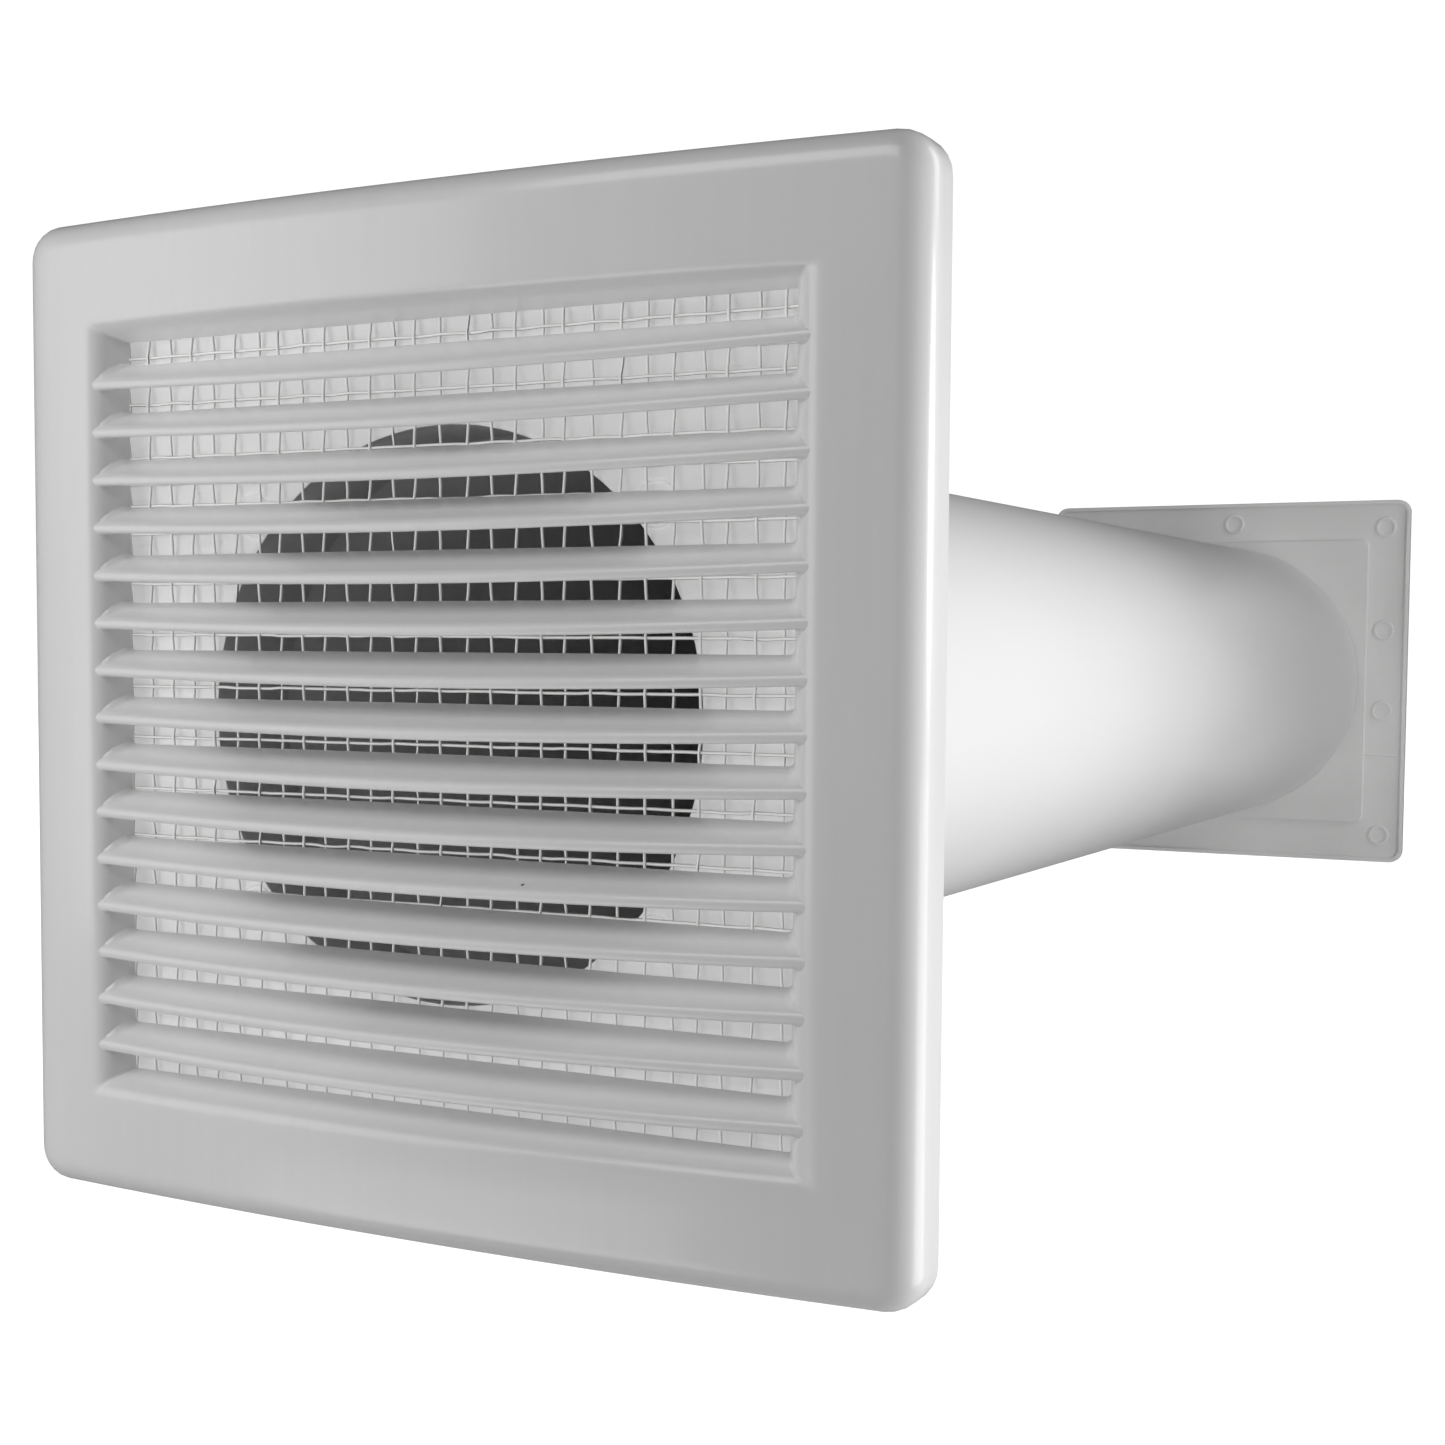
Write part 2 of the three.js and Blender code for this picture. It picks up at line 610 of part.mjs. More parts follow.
node("motor_carrier", motorCarrier(), innerPlastic, fan);
node("stator_core", statorCore(), laminations, fan);
for (let k = 0; k < POLES; k++) {
  node("stator_coil_" + (k + 1), turned(statorCoil(), k * 90), enamel, fan);
}
node("bearing_rear", ring(BORE_R, BEARING_R, -71.5, -66.8, SHAFT_ROUND), bronze, fan);
node("bearing_front", ring(BORE_R, BEARING_R, -45.2, -40.8, SHAFT_ROUND), bronze, fan);
node("motor_cover", motorCover(), innerPlastic, fan);
lugPlaces.forEach(([x, z], k) => {
  const mesh = node("motor_screw_" + (k + 1), screw(2.9, 1.8, 1.3, 11), steel, fan);
  place(mesh, x, MOTOR_COVER_FACE + GAP, z);
});
node("rotor_core", ring(BORE_R, ROTOR_R, -65, -51, SHAFT_ROUND), laminations, fan);
node("motor_shaft", disc(SHAFT_R, -71.2, -9.6, SHAFT_ROUND), steel, fan);

// ---- Impeller -----------------------------------------------------------------------------------

// One blade's section at radius r, with the blade standing along +X.
function bladeSection(r) {
  const t = (r - HUB_R) / (IMPELLER_R - HUB_R);
  const pitch = rad(46 - 20 * t);
  const chord = 24 + 5 * t;
  const thick = 1.9 - 0.6 * t;
  const middle = (HUB_FROM + HUB_TO) / 2;
  const outline = [[-0.5, 0], [-0.2, 0.5], [0.15, 0.5], [0.5, 0], [0.15, -0.5], [-0.2, -0.5]];
  return outline.map(([u, v]) => {
    const camber = 2.2 * (1 - (2 * u) ** 2);
    const along = u * chord;
    const across = v * thick + camber;
    const tangent = along * Math.cos(pitch) - across * Math.sin(pitch);
    const axial = along * Math.sin(pitch) + across * Math.cos(pitch);
    return [r, middle + axial, tangent];
  });
}

function impeller() {
  const hub = revolve([
    [HUB_R - 1.6, HUB_FROM],
    [HUB_R, HUB_FROM],
    [HUB_R, HUB_TO - 3],
    [HUB_R - 3.4, HUB_TO],
    [BORE_R, HUB_TO],
    [BORE_R, HUB_FROM + 2],
    [5, HUB_FROM + 2],
    [5, HUB_TO - 2],
    [HUB_R - 1.6, HUB_TO - 4],
    [HUB_R - 1.6, HUB_FROM],
  ], SHAFT_ROUND);
  const radii = [HUB_R - 0.8, 27, 36, IMPELLER_R];
  const blade = loft(radii.map(bladeSection));
  const step = 360 / IMPELLER_BLADES;
  const blades = Array.from({ length: IMPELLER_BLADES }, (_, k) => turned(blade, k * step));
  return join(hub, ...blades);
}

node("impeller", impeller(), innerPlastic, fan);
node("impeller_clip", ring(BORE_R, 4.6, HUB_TO + GAP, HUB_TO + GAP + 0.8, SHAFT_ROUND), steel, fan);

// ---- Wiring -------------------------------------------------------------------------------------

const TERMINAL = { x0: -7, x1: 23, z0: -66.4, z1: -54.6, y0: BASE_BACK + GAP, y1: 14 };
const TERMINAL_PITCH = 10;
const terminalX = [0.5, 1.5, 2.5].map((k) => TERMINAL.x0 + k * TERMINAL_PITCH);
const terminalZ = (TERMINAL.z0 + TERMINAL.z1) / 2;

function terminalBlock() {
  const { x0, x1, z0, z1, y0, y1 } = TERMINAL;
  const wells = terminalX.map((x) => moved(disc(2.8, y1 - 6, y1 + 1, SMALL_ROUND), x, 0, terminalZ));
  const entries = terminalX.map((x) => box(x - 2, x + 2, y0 + 1.5, y0 + 4.5, z0 - 1, z1 + 1));
  const notches = [1, 2].map((k) => {
    const x = x0 + k * TERMINAL_PITCH;
    return box(x - 0.6, x + 0.6, y1 - 3, y1 + 1, z0 - 1, z1 + 1);
  });
  return cut(box(x0, x1, y0, y1, z0, z1), ...wells, ...entries, ...notches);
}

function cableGrommet() {
  const body = revolve(
    [
      [4.5, 0.2],
      [8.3, 0.2],
      [8.6, CABLE_SEAT - GAP],
      [CABLE_HOLE_R - GAP, CABLE_SEAT - GAP],
      [CABLE_HOLE_R - GAP, BASE_BACK + GAP],
      [9, BASE_BACK + GAP],
      [8.2, BASE_BACK + 2.2],
      [4.5, BASE_BACK + 2.2],
      [4.5, 0.2],
    ],
    SMALL_ROUND,
  );
  return moved(body, CABLE[0], 0, CABLE[1]);
}

const CLAMP = { x: -27, z: -62, half: 12, top: 10 };
const CLAMP_SCREWS = [-8.5, 8.5]; // screws this far either side of its middle

function cableClamp() {
  const { x, z, half, top } = CLAMP;
  const bar = box(x - half, x + half, BASE_BACK + GAP, top, z - 3.2, z + 3.2);
  const arch = box(x - 5, x + 5, 0, 7.5, z - 9, z + 9);
  const holes = CLAMP_SCREWS.map((dx) => moved(disc(1.8, 0, 20, SMALL_ROUND), x + dx, 0, z));
  return cut(bar, arch, ...holes);
}

// A motor lead from the terminal block, through the base plate, along the fan duct to the motor cup.
function motorLead({ x, z }) {
  const out = Math.hypot(x, z);
  const at = (r, y) => new THREE.Vector3((x / out) * r, y, (z / out) * r);
  const path = new THREE.CatmullRomCurve3(
    [
      new THREE.Vector3(x, 7.5, TERMINAL.z1 + GAP),
      new THREE.Vector3(x, 7, z - 1.6),
      at(out, 4),
      at(out, -1),
      at(out, -24),
      at(out, -44),
      at(out - 0.8, -49),
      at(44, -50.5),
      at(CUP_R + 0.8, -51),
    ],
    false,
    "centripetal",
  );
  const section = new THREE.Shape();
  section.absarc(0, 0, LEAD_R, 0, 2 * Math.PI);
  const options = { steps: 24, curveSegments: 4, bevelEnabled: false, extrudePath: path };
  return solid(new THREE.ExtrudeGeometry(section, options));
}

node("terminal_block", terminalBlock(), innerPlastic, fan);
terminalX.forEach((x, k) => {
  const mesh = node("terminal_screw_" + (k + 1), screw(2.3, 1.6, 1.4, 1.8), brass, fan);
  place(mesh, x, TERMINAL.y1 - 4, terminalZ);
});
node("cable_grommet", cableGrommet(), rubber, fan);
node("cable_clamp", cableClamp(), innerPlastic, fan);
CLAMP_SCREWS.forEach((dx, k) => {
  const mesh = node("clamp_screw_" + (k + 1), screw(2.8, 1.8, 1.4, 6.2), steel, fan);
  place(mesh, CLAMP.x + dx, CLAMP.top + GAP, CLAMP.z);
});
node("motor_lead_live", motorLead(LEADS[0]), brownLead, fan);
node("motor_lead_neutral", motorLead(LEADS[1]), blueLead, fan);

// ---- Bathroom cover -----------------------------------------------------------------------------

// The outline of a rounded square at depth y, as a ring for loft.
function squareRing(half, corner, y) {
  const steps = 4;
  const points = [];
  for (const turn of [0, 90, 180, 270]) {
    const [cx, cz] = polar((half - corner) * Math.SQRT2, turn + 45);
    for (let i = 0; i <= steps; i++) {
      const [dx, dz] = polar(corner, turn + (i / steps) * 90);
      points.push([cx + dx, y, cz + dz]);
    }
  }
  return points;
}

function roomCover() {
  const shell = loft([
    squareRing(72.5, 6, BASE_BACK + GAP),
    squareRing(69.4, 6, COVER_DEPTH - 6),
    squareRing(68.2, 6, COVER_DEPTH - 2.2),
    squareRing(66.6, 6, COVER_DEPTH - 0.6),
    squareRing(64.6, 6, COVER_DEPTH),
  ]);
  const inside = loft([
    squareRing(70.4, 4, BASE_BACK - 1),
    squareRing(67.2, 4, COVER_DEPTH - 6),
    squareRing(65, 4, COVER_DEPTH - 2.4),
  ]);
  const grid = box(-56, 56, COVER_DEPTH - 6.5, COVER_DEPTH - 1, -57, 57);
  const first = (-(COVER_SLOTS - 1) / 2) * COVER_PITCH;
  const slots = Array.from({ length: COVER_SLOTS }, (_, k) => {
    const z = first + k * COVER_PITCH;
    const section = (x) => [
      [x, COVER_DEPTH - 8, z + 0.5],
      [x, COVER_DEPTH + 1, z - 5],
      [x, COVER_DEPTH + 1, z + 1.5],
      [x, COVER_DEPTH - 8, z + 7],
    ];
    return loft([section(-COVER_SLOT_HALF), section(COVER_SLOT_HALF)]);
  });
  return cut(join(cut(shell, inside), grid), ...slots);
}

node("room_cover", roomCover(), whitePlastic, fan);

export default part;
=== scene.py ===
"""Looks of the through-wall bathroom extractor fan: an outside louvred grille, a pipe and a fan unit."""

import math
import random

import bmesh
import bpy
from mathutils import Matrix, Vector


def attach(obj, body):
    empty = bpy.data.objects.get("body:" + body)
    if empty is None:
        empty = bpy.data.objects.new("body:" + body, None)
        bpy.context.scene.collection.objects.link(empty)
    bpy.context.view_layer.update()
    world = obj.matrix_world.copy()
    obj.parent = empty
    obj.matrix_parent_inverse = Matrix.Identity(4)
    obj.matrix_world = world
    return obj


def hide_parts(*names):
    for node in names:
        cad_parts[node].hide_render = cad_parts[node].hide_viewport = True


MM = 0.001
WALL = 580.0  # inner wall face, from the outer one
LEADS = {"live": 12.4, "neutral": 16.4}  # where the motor leads pass the base plate, along X
LEAD_CIRCLE = 51.3  # and how far from the axis
CABLE = (-57, -57)  # where the mains cable enters the base plate
PHI = math.pi / 180

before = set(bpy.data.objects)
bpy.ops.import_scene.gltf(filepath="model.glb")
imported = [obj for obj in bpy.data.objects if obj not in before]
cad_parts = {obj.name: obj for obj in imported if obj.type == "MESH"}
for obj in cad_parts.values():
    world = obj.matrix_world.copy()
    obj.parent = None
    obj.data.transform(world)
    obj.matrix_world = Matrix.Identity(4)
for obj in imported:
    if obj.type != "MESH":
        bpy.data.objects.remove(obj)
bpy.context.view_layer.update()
random.seed(4)


def add_object(name, data):
    thing = bpy.data.objects.new(name, data)
    bpy.context.scene.collection.objects.link(thing)
    return thing


# ---- Camera ----

def make_camera():
    yaw, pitch, roll = 0.4845, 0.0609, 0.0059
    ahead = Vector((-math.sin(yaw) * math.cos(pitch), math.cos(yaw) * math.cos(pitch), -math.sin(pitch)))
    right = Vector((math.cos(yaw), math.sin(yaw), 0))
    up = right.cross(ahead)
    right, up = right * math.cos(roll) + up * math.sin(roll), up * math.cos(roll) - right * math.sin(roll)
    data = bpy.data.cameras.new("camera")
    data.sensor_width = 36
    data.lens = 52.03
    data.shift_x = 0.0294
    data.shift_y = 0.0357
    data.clip_start = 0.01
    camera = add_object("camera", data)
    turn = Matrix((right, up, -ahead)).transposed().to_4x4()
    camera.matrix_world = Matrix.Translation((0.20896, -0.31042, 0.01266)) @ turn
    bpy.context.scene.camera = camera


# ---- Materials ----

class Nodes:
    """A small builder for one material's node tree."""

    def __init__(self, name, rough, metal=0.0, coat=0.0, coat_rough=0.1):
        self.material = bpy.data.materials.new(name)
        self.material.use_nodes = True
        self.tree = self.material.node_tree
        self.bsdf = self.tree.nodes["Principled BSDF"]
        finish = {"Roughness": rough, "Metallic": metal, "IOR": 1.48}
        finish.update({"Coat Weight": coat, "Coat Roughness": coat_rough})
        for name, value in finish.items():
            self.bsdf.inputs[name].default_value = value
        self.place = self.add("TexCoord").outputs["Object"]
        self.height = None

    def add(self, kind, values=(), **settings):
        """A new node with these settings, and these (input, value) pairs."""
        node = self.tree.nodes.new("ShaderNode" + kind)
        for name, value in settings.items():
            setattr(node, name, value)
        for name, value in values:
            node.inputs[name].default_value = value
        return node

    def link(self, a, b):
        self.tree.links.new(a, b)

    def scaled(self, scale, turn=(0, 0, 0)):
        node = self.add("Mapping", [("Scale", scale), ("Rotation", turn)])
        self.link(self.place, node.inputs["Vector"])
        return node.outputs["Vector"]

    def noise(self, scale, detail=3.0, turn=(0, 0, 0)):
        """Noise whose features are about 1/scale metres across along each axis."""
        node = self.add("TexNoise", [("Scale", 1.0), ("Detail", detail), ("Roughness", 0.55)])
        self.link(self.scaled(scale, turn), node.inputs["Vector"])
        return node.outputs["Fac"]

    def waves(self, scale):
        """Even bands across the Y axis."""
        node = self.add("TexWave", [("Scale", scale)], bands_direction="Y", wave_profile="SIN")
        self.link(self.place, node.inputs["Vector"])
        return node.outputs["Fac"]

    def cells(self, scale):
        node = self.add("TexVoronoi", [("Scale", 1.0)], feature="F1")
        self.link(self.scaled(scale), node.inputs["Vector"])
        return node.outputs["Distance"]

    def ramp(self, value, low, high, from_low=0.35, from_high=0.65):
        ends = [("From Min", from_low), ("From Max", from_high), ("To Min", low), ("To Max", high)]
        node = self.add("MapRange", ends)
        self.link(value, node.inputs["Value"])
        return node.outputs["Result"]

    def step(self, value, edge):
        """1 below the edge, 0 above it."""
        return self.ramp(value, 1, 0, edge - 0.0001, edge + 0.0001)

    def maths(self, operation, a, b):
        node = self.add("Math", operation=operation)
        for socket, value in zip(node.inputs, (a, b)):
            if isinstance(value, (int, float)):
                socket.default_value = value
            else:
                self.link(value, socket)
        return node.outputs["Value"]

    def mixed(self, fac, a, b):
        node = self.add("Mix", data_type="RGBA")
        self.link(fac, node.inputs["Factor"])
        for socket, value in ((node.inputs[6], a), (node.inputs[7], b)):
            if isinstance(value, tuple):
                socket.default_value = (*value, 1)
            else:
                self.link(value, socket)
        return node.outputs[2]

    def toned(self, value, base, low, high):
        """The base colour, drifting from low to high times its own brightness."""
        return self.mixed(self.ramp(value, 0, 1), shade(base, low), shade(base, high))

    def color(self, value):
        self.link(value, self.bsdf.inputs["Base Color"])

    def painted_glow(self, color, strength):
        """Painted light: an emission that stands in for light thrown to and fro between the white parts."""
        self.link(color, self.bsdf.inputs["Emission Color"])
        self.link(strength, self.bsdf.inputs["Emission Strength"])

    def in_bore(self, radius):
        """1 within this radius of the duct's axis, for painted shade on the lining of a bore."""
        flat = self.add("VectorMath", [(1, (1, 0, 1))], operation="MULTIPLY")
        self.link(self.place, flat.inputs[0])
        length = self.add("VectorMath", operation="LENGTH")
        self.link(flat.outputs["Vector"], length.inputs[0])
        return self.step(length.outputs["Value"], radius)

    def along(self, vector, axis):
        """How far a vector reaches along an axis."""
        node = self.add("VectorMath", [(1, axis)], operation="DOT_PRODUCT")
        self.link(vector, node.inputs[0])
        return node.outputs["Value"]

    def before(self, y):
        """1 on the outdoor side of depth y, in metres."""
        return self.step(self.along(self.place, (0, 1, 0)), y)

    def faces_outdoors(self, low, high):
        """1 where the surface looks outdoors, 0 on its sides and back."""
        normal = self.add("TexCoord").outputs["Normal"]
        return self.ramp(self.along(normal, (0, -1, 0)), 0, 1, low, high)

    def roughness(self, value):
        self.link(value, self.bsdf.inputs["Roughness"])

    def bump(self, value, distance, strength=0.5):
        node = self.add("Bump", [("Strength", strength), ("Distance", distance)])
        self.link(value, node.inputs["Height"])
        if self.height is not None:
            self.link(self.height, node.inputs["Normal"])
        self.height = node.outputs["Normal"]
        self.link(self.height, self.bsdf.inputs["Normal"])


def shade(color, k):
    return tuple(c * k for c in color)


def glossy_white(name, base, rough, coat):
    m = Nodes(name, rough, coat=coat, coat_rough=0.12)
    clouds = m.noise((9, 9, 9), 4)
    streaks = m.noise((420, 420, 26), 3)
    tone = m.toned(clouds, base, 0.965, 1.02)
    tone = m.mixed(m.ramp(streaks, 0.0, 0.10), tone, shade(base, 0.86))
    specks = m.ramp(m.cells((31, 31, 31)), 1, 0, 0.008, 0.014)
    tone = m.mixed(specks, tone, (0.06, 0.055, 0.05))
    m.color(tone)
    scratches = m.ramp(m.noise((60, 60, 1100), 2, turn=(0, 0.5, 0)), 0, 1, 0.70, 0.74)
    drift = m.ramp(clouds, rough - 0.03, rough + 0.05)
    m.roughness(m.maths("ADD", drift, m.maths("MULTIPLY", scratches, 0.12)))
    m.bump(m.noise((190, 190, 110), 3), 0.00006, 0.25)
    m.bump(m.noise((2600, 2600, 2600), 2), 0.00001, 0.35)
    return m.material


def moulded(name, base, rough, grain=1600, grain_depth=0.00002, spread=0.05, coat=0.0):
    """Plain moulded plastic or rubber: slight tone drift, fine grain and soft flow marks."""
    m = Nodes(name, rough, coat=coat)
    drift = m.noise((16, 16, 16), 4)
    fine = m.noise((grain, grain, grain), 3)
    tone = m.toned(drift, base, 1 - spread, 1 + spread / 2)
    tone = m.mixed(m.ramp(fine, 0, 0.18), tone, shade(base, 0.85))
    m.color(tone)
    m.roughness(m.ramp(fine, rough - 0.04, rough + 0.06))
    m.bump(m.noise((90, 90, 90), 2), 0.00005, 0.25)
    m.bump(fine, grain_depth, 0.5)
    return m.material


def coated_wire():
    """White-coated wire, with painted shade on its sides and back and a painted glow where it faces
    outdoors.
    """
    base = (0.93, 0.93, 0.92)
    m = Nodes("coated_wire", 0.35, coat=0.3)
    front = m.faces_outdoors(0.5, 0.95)
    drift = m.noise((60, 60, 60), 3)
    tone = m.mixed(m.ramp(drift, 0, 1), shade(base, 0.95), base)
    # Painted shade: the wire's sides and back are painted at half brightness.
    tone = m.mixed(front, shade(base, 0.5), tone)
    m.color(tone)
    # Painted light: the outdoor-facing side of the wire glows.
    m.painted_glow(tone, m.maths("MULTIPLY", front, 0.36))
    m.roughness(m.ramp(drift, 0.31, 0.41))
    m.bump(m.noise((2400, 2400, 2400), 3), 0.00001, 0.5)
    return m.material


def extruded_pipe():
    base = (0.86, 0.86, 0.86)
    m = Nodes("extruded_pipe", 0.34, coat=0.1)
    lines = m.noise((160, 2, 160), 2)
    clouds = m.noise((12, 5, 12), 3)
    tone = m.toned(clouds, base, 0.985, 1.01)
    m.color(m.mixed(m.ramp(lines, 0, 0.10, 0.3, 0.8), tone, shade(base, 0.93)))
    m.roughness(m.ramp(clouds, 0.31, 0.38))
    m.bump(m.noise((900, 900, 900), 2), 0.000006, 0.3)
    return m.material


def scuffed_plate():
    """The plate behind the mesh: bright, with fine straight scratches, painted shade in its bore and a
    painted glow on its face.
    """
    base = (0.97, 0.97, 0.97)
    bore, face = 0.0514, -0.0026
    m = Nodes("scuffed_plate", 0.36, coat=0.1)
    clouds = m.noise((22, 22, 22), 4)
    fibres = m.noise((150, 150, 2400), 2, turn=(0, 1.15, 0))
    fibres_b = m.noise((130, 130, 2100), 2, turn=(0, 1.75, 0))
    tone = m.toned(clouds, base, 0.95, 1.03)
    tone = m.mixed(m.ramp(fibres, 0, 0.45, 0.60, 0.72), tone, shade(base, 0.80))
    tone = m.mixed(m.ramp(fibres_b, 0, 0.4, 0.62, 0.74), tone, (0.95, 0.95, 0.95))
    # Painted shade: the bore's lining is darkened to 0.75 of the plate's tone.
    m.color(m.mixed(m.in_bore(bore), tone, shade(base, 0.75)))
    # Painted light: the face outside the bore glows, standing in for light that comes in through the
    # louvres.
    painted_glow_face = m.maths("MULTIPLY", m.ramp(m.in_bore(bore), 1, 0), m.before(face))
    m.painted_glow(tone, m.maths("MULTIPLY", painted_glow_face, 0.25))
    m.roughness(m.ramp(fibres, 0.32, 0.48))
    m.bump(fibres, 0.00003, 0.5)
    return m.material


def metal(name, base, rough, stretch=(1800, 60, 60)):
    m = Nodes(name, rough, metal=1.0)
    brushed = m.noise(stretch, 3)
    tarnish = m.noise((140, 140, 140), 3)
    tone = m.toned(tarnish, base, 0.86, 1.05)
    m.color(m.mixed(m.ramp(brushed, 0, 0.3), tone, shade(base, 0.7)))
    m.roughness(m.ramp(brushed, rough - 0.06, rough + 0.1))
    m.bump(brushed, 0.00001, 0.3)
    return m.material


def laminated():
    base = (0.26, 0.26, 0.27)
    m = Nodes("lamination_steel", 0.45, metal=0.85)
    sheets = m.waves(630)
    rust = m.noise((170, 170, 170), 4)
    tone = m.mixed(m.ramp(sheets, 0, 1, 0.15, 0.5), shade(base, 0.35), base)
    m.color(m.mixed(m.ramp(rust, 0, 0.35, 0.55, 0.7), tone, (0.16, 0.09, 0.05)))
    m.roughness(m.ramp(rust, 0.4, 0.6))
    m.bump(sheets, 0.00005, 0.8)
    return m.material


def enamelled():
    base = (0.50, 0.17, 0.05)
    m = Nodes("enamelled_wire", 0.28, metal=0.75, coat=0.6)
    drift = m.noise((260, 260, 260), 3)
    m.color(m.toned(drift, base, 0.72, 1.12))
    m.roughness(m.ramp(drift, 0.22, 0.36))
    m.bump(m.noise((900, 900, 900), 2), 0.00003, 0.3)
    return m.material


def foam():
    base = (0.055, 0.055, 0.057)
    m = Nodes("closed_cell_foam", 0.9)
    pores = m.cells((2300, 2300, 2300))
    m.color(m.mixed(m.ramp(pores, 0, 1, 0.1, 0.6), shade(base, 0.55), shade(base, 1.5)))
    m.bump(pores, 0.00012, 0.9)
    return m.material


SLOTS = {
    "white_gloss": glossy_white("gloss_white_plastic", (0.89, 0.89, 0.89), 0.30, 0.35),
    "plate": scuffed_plate(),
    "mesh_wire": coated_wire(),
    "pipe_white": extruded_pipe(),
    "base_plastic": moulded("base_plastic", (0.86, 0.86, 0.855), 0.40, 1500, coat=0.1),
    "inner_plastic": moulded("inner_plastic", (0.78, 0.78, 0.755), 0.42, 1700),
    "impeller_plastic": moulded("impeller_plastic", (0.62, 0.63, 0.64), 0.36, 2000, coat=0.1),
    "dark_plastic": moulded("dark_plastic", (0.05, 0.052, 0.055), 0.48, 1500, 0.00003, 0.15),
    "foam": foam(),
    "rubber": moulded("black_rubber", (0.018, 0.018, 0.018), 0.62, 1300, 0.00004, 0.2),
    "steel": metal("zinc_steel", (0.60, 0.61, 0.62), 0.28),
    "laminations": laminated(),
    "bronze": metal("sintered_bronze", (0.50, 0.33, 0.15), 0.42, (900, 900, 900)),
    "brass": metal("brass", (0.70, 0.51, 0.21), 0.26),
    "copper_enamel": enamelled(),
    "lead_brown": moulded("brown_insulation", (0.10, 0.032, 0.012), 0.36, 900, coat=0.2),
    "lead_blue": moulded("blue_insulation", (0.012, 0.075, 0.30), 0.36, 900, coat=0.2),
}


# ---- Mesh helpers, in millimetres ----

def write_mesh(mesh, bm, sharp):
    bmesh.ops.recalc_face_normals(bm, faces=bm.faces)
    bm.to_mesh(mesh)
    bm.free()
    mesh.shade_smooth()
    mesh.set_sharp_from_angle(angle=sharp * PHI)


def finish_mesh(name, bm, sharp=38):
    bmesh.ops.remove_doubles(bm, verts=bm.verts, dist=1e-7)
    mesh = bpy.data.meshes.new(name)
    write_mesh(mesh, bm, sharp)
    return add_object(name, mesh)


def add_rings(bm, rings, closed=False, capped=False):
    """Quads between rings of points in mm; closed joins the last ring to the first."""
    made = [[bm.verts.new(Vector(p) * MM) for p in ring] for ring in rings]
    count = len(rings[0])
    pairs = list(zip(made, made[1:]))
    if closed:
        pairs.append((made[-1], made[0]))
    for a, b in pairs:
        for i in range(count):
            j = (i + 1) % count
            bm.faces.new((a[i], a[j], b[j], b[i]))
    if capped:
        bm.faces.new(made[0])
        bm.faces.new(list(reversed(made[-1])))


def dress(piece, body, slot, *nodes, look=None):
    piece.data.materials.clear()
    piece.data.materials.append(SLOTS[look or slot])
    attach(piece, body)
    if nodes:
        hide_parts(*nodes)
    return piece


def filleted(points, radius, steps=4):
    """A closed 2-D outline with its corners rounded."""
    out = []
    count = len(points)
    for i in range(count):
        p = Vector(points[i])
        a = Vector(points[i - 1]) - p
        b = Vector(points[(i + 1) % count]) - p
        turn = math.pi - a.angle(b)
        reach = min(radius * math.tan(turn / 2), 0.42 * a.length, 0.42 * b.length)
        if reach < 0.02 or turn < 0.15:
            out.append(tuple(p))
            continue
        start, end = p + a.normalized() * reach, p + b.normalized() * reach
        for k in range(steps + 1):
            t = k / steps
            out.append(tuple(start * (1 - t) ** 2 + p * 2 * t * (1 - t) + end * t ** 2))
    return out


def turned_rings(profile, sides, center, base, turn=None):
    """Circles about an axis along Y through (x, z), one for each (radius, y)."""
    rings = []
    for r, y in profile:
        ring = []
        for k in range(sides):
            a = 2 * math.pi * k / sides
            ring.append((center[0] + r * math.cos(a), base + y, center[1] + r * math.sin(a)))
        rings.append([turn(p) for p in ring] if turn else ring)
    return rings


def add_lathe(bm, profile, sides, center=(0, 0), base=0.0):
    """A closed outline turned about the axis."""
    add_rings(bm, turned_rings(profile, sides, center, base), closed=True)


def solid_lathe(bm, profile, sides, center=(0, 0), base=0.0, turn=None):
    """A solid turned about the axis: the profile runs from the axis to the axis."""
    profile = [(max(r, 0.001), y) for r, y in profile]
    add_rings(bm, turned_rings(profile, sides, center, base, turn), capped=True)


def lathe(name, profile, radius=0.25, sides=96, center=(0, 0), base=0.0):
    bm = bmesh.new()
    add_lathe(bm, filleted(profile, radius), sides, center, base)
    return finish_mesh(name, bm, 30)


def square_ring(half_x, top, bottom, corner, y, side=14, arc=6):
    """Points round a rounded rectangle, the same number for every size."""
    points = []
    c = max(corner, 0.02)
    for sx, sz, turn in ((1, 1, 0), (-1, 1, 90), (-1, -1, 180), (1, -1, 270)):
        cx = sx * (half_x - c)
        cz = (top - c) if sz > 0 else (bottom + c)
        for k in range(arc + 1):
            a = (turn + 90 * k / arc) * PHI
            points.append((cx + c * math.cos(a), y, cz + c * math.sin(a)))
        nx, nz = {0: (-1, 1), 90: (-1, -1), 180: (1, -1), 270: (1, 1)}[turn]
        ex = nx * (half_x - c) + c * math.cos((turn + 90) * PHI)
        ez = ((top - c) if nz > 0 else (bottom + c)) + c * math.sin((turn + 90) * PHI)
        last = points[-1]
        for k in range(1, side):
            t = k / side
            points.append((last[0] + (ex - last[0]) * t, y, last[2] + (ez - last[2]) * t))
    return points


# ---- Outside grille ----

HALF, TOP, BOTTOM = 93.0, 92.5, -92.9
CORNER = 7
BOW = 4.0
FRONT = -10.0  # the border's front at its upright edges
ROLL = 5.5  # radius of the rounded outer edge
ROLL_START = FRONT + ROLL
WELL_BACK = -5.2
WELL_SIDE = 69.65
WELL_SHIFT = 0.65  # the back of the louvre field lies this far to the left
COVE = 7.2  # how far the side coves flare towards the front


def bow(x):
    return BOW * (1 - min(1, abs(x) / HALF) ** 2)


def bowed(ring):
    """Carries the front of the border out to the bowed face."""
    return [(x, y - bow(x) * min(1, y / ROLL_START) if y < 0 else y, z) for x, y, z in ring]


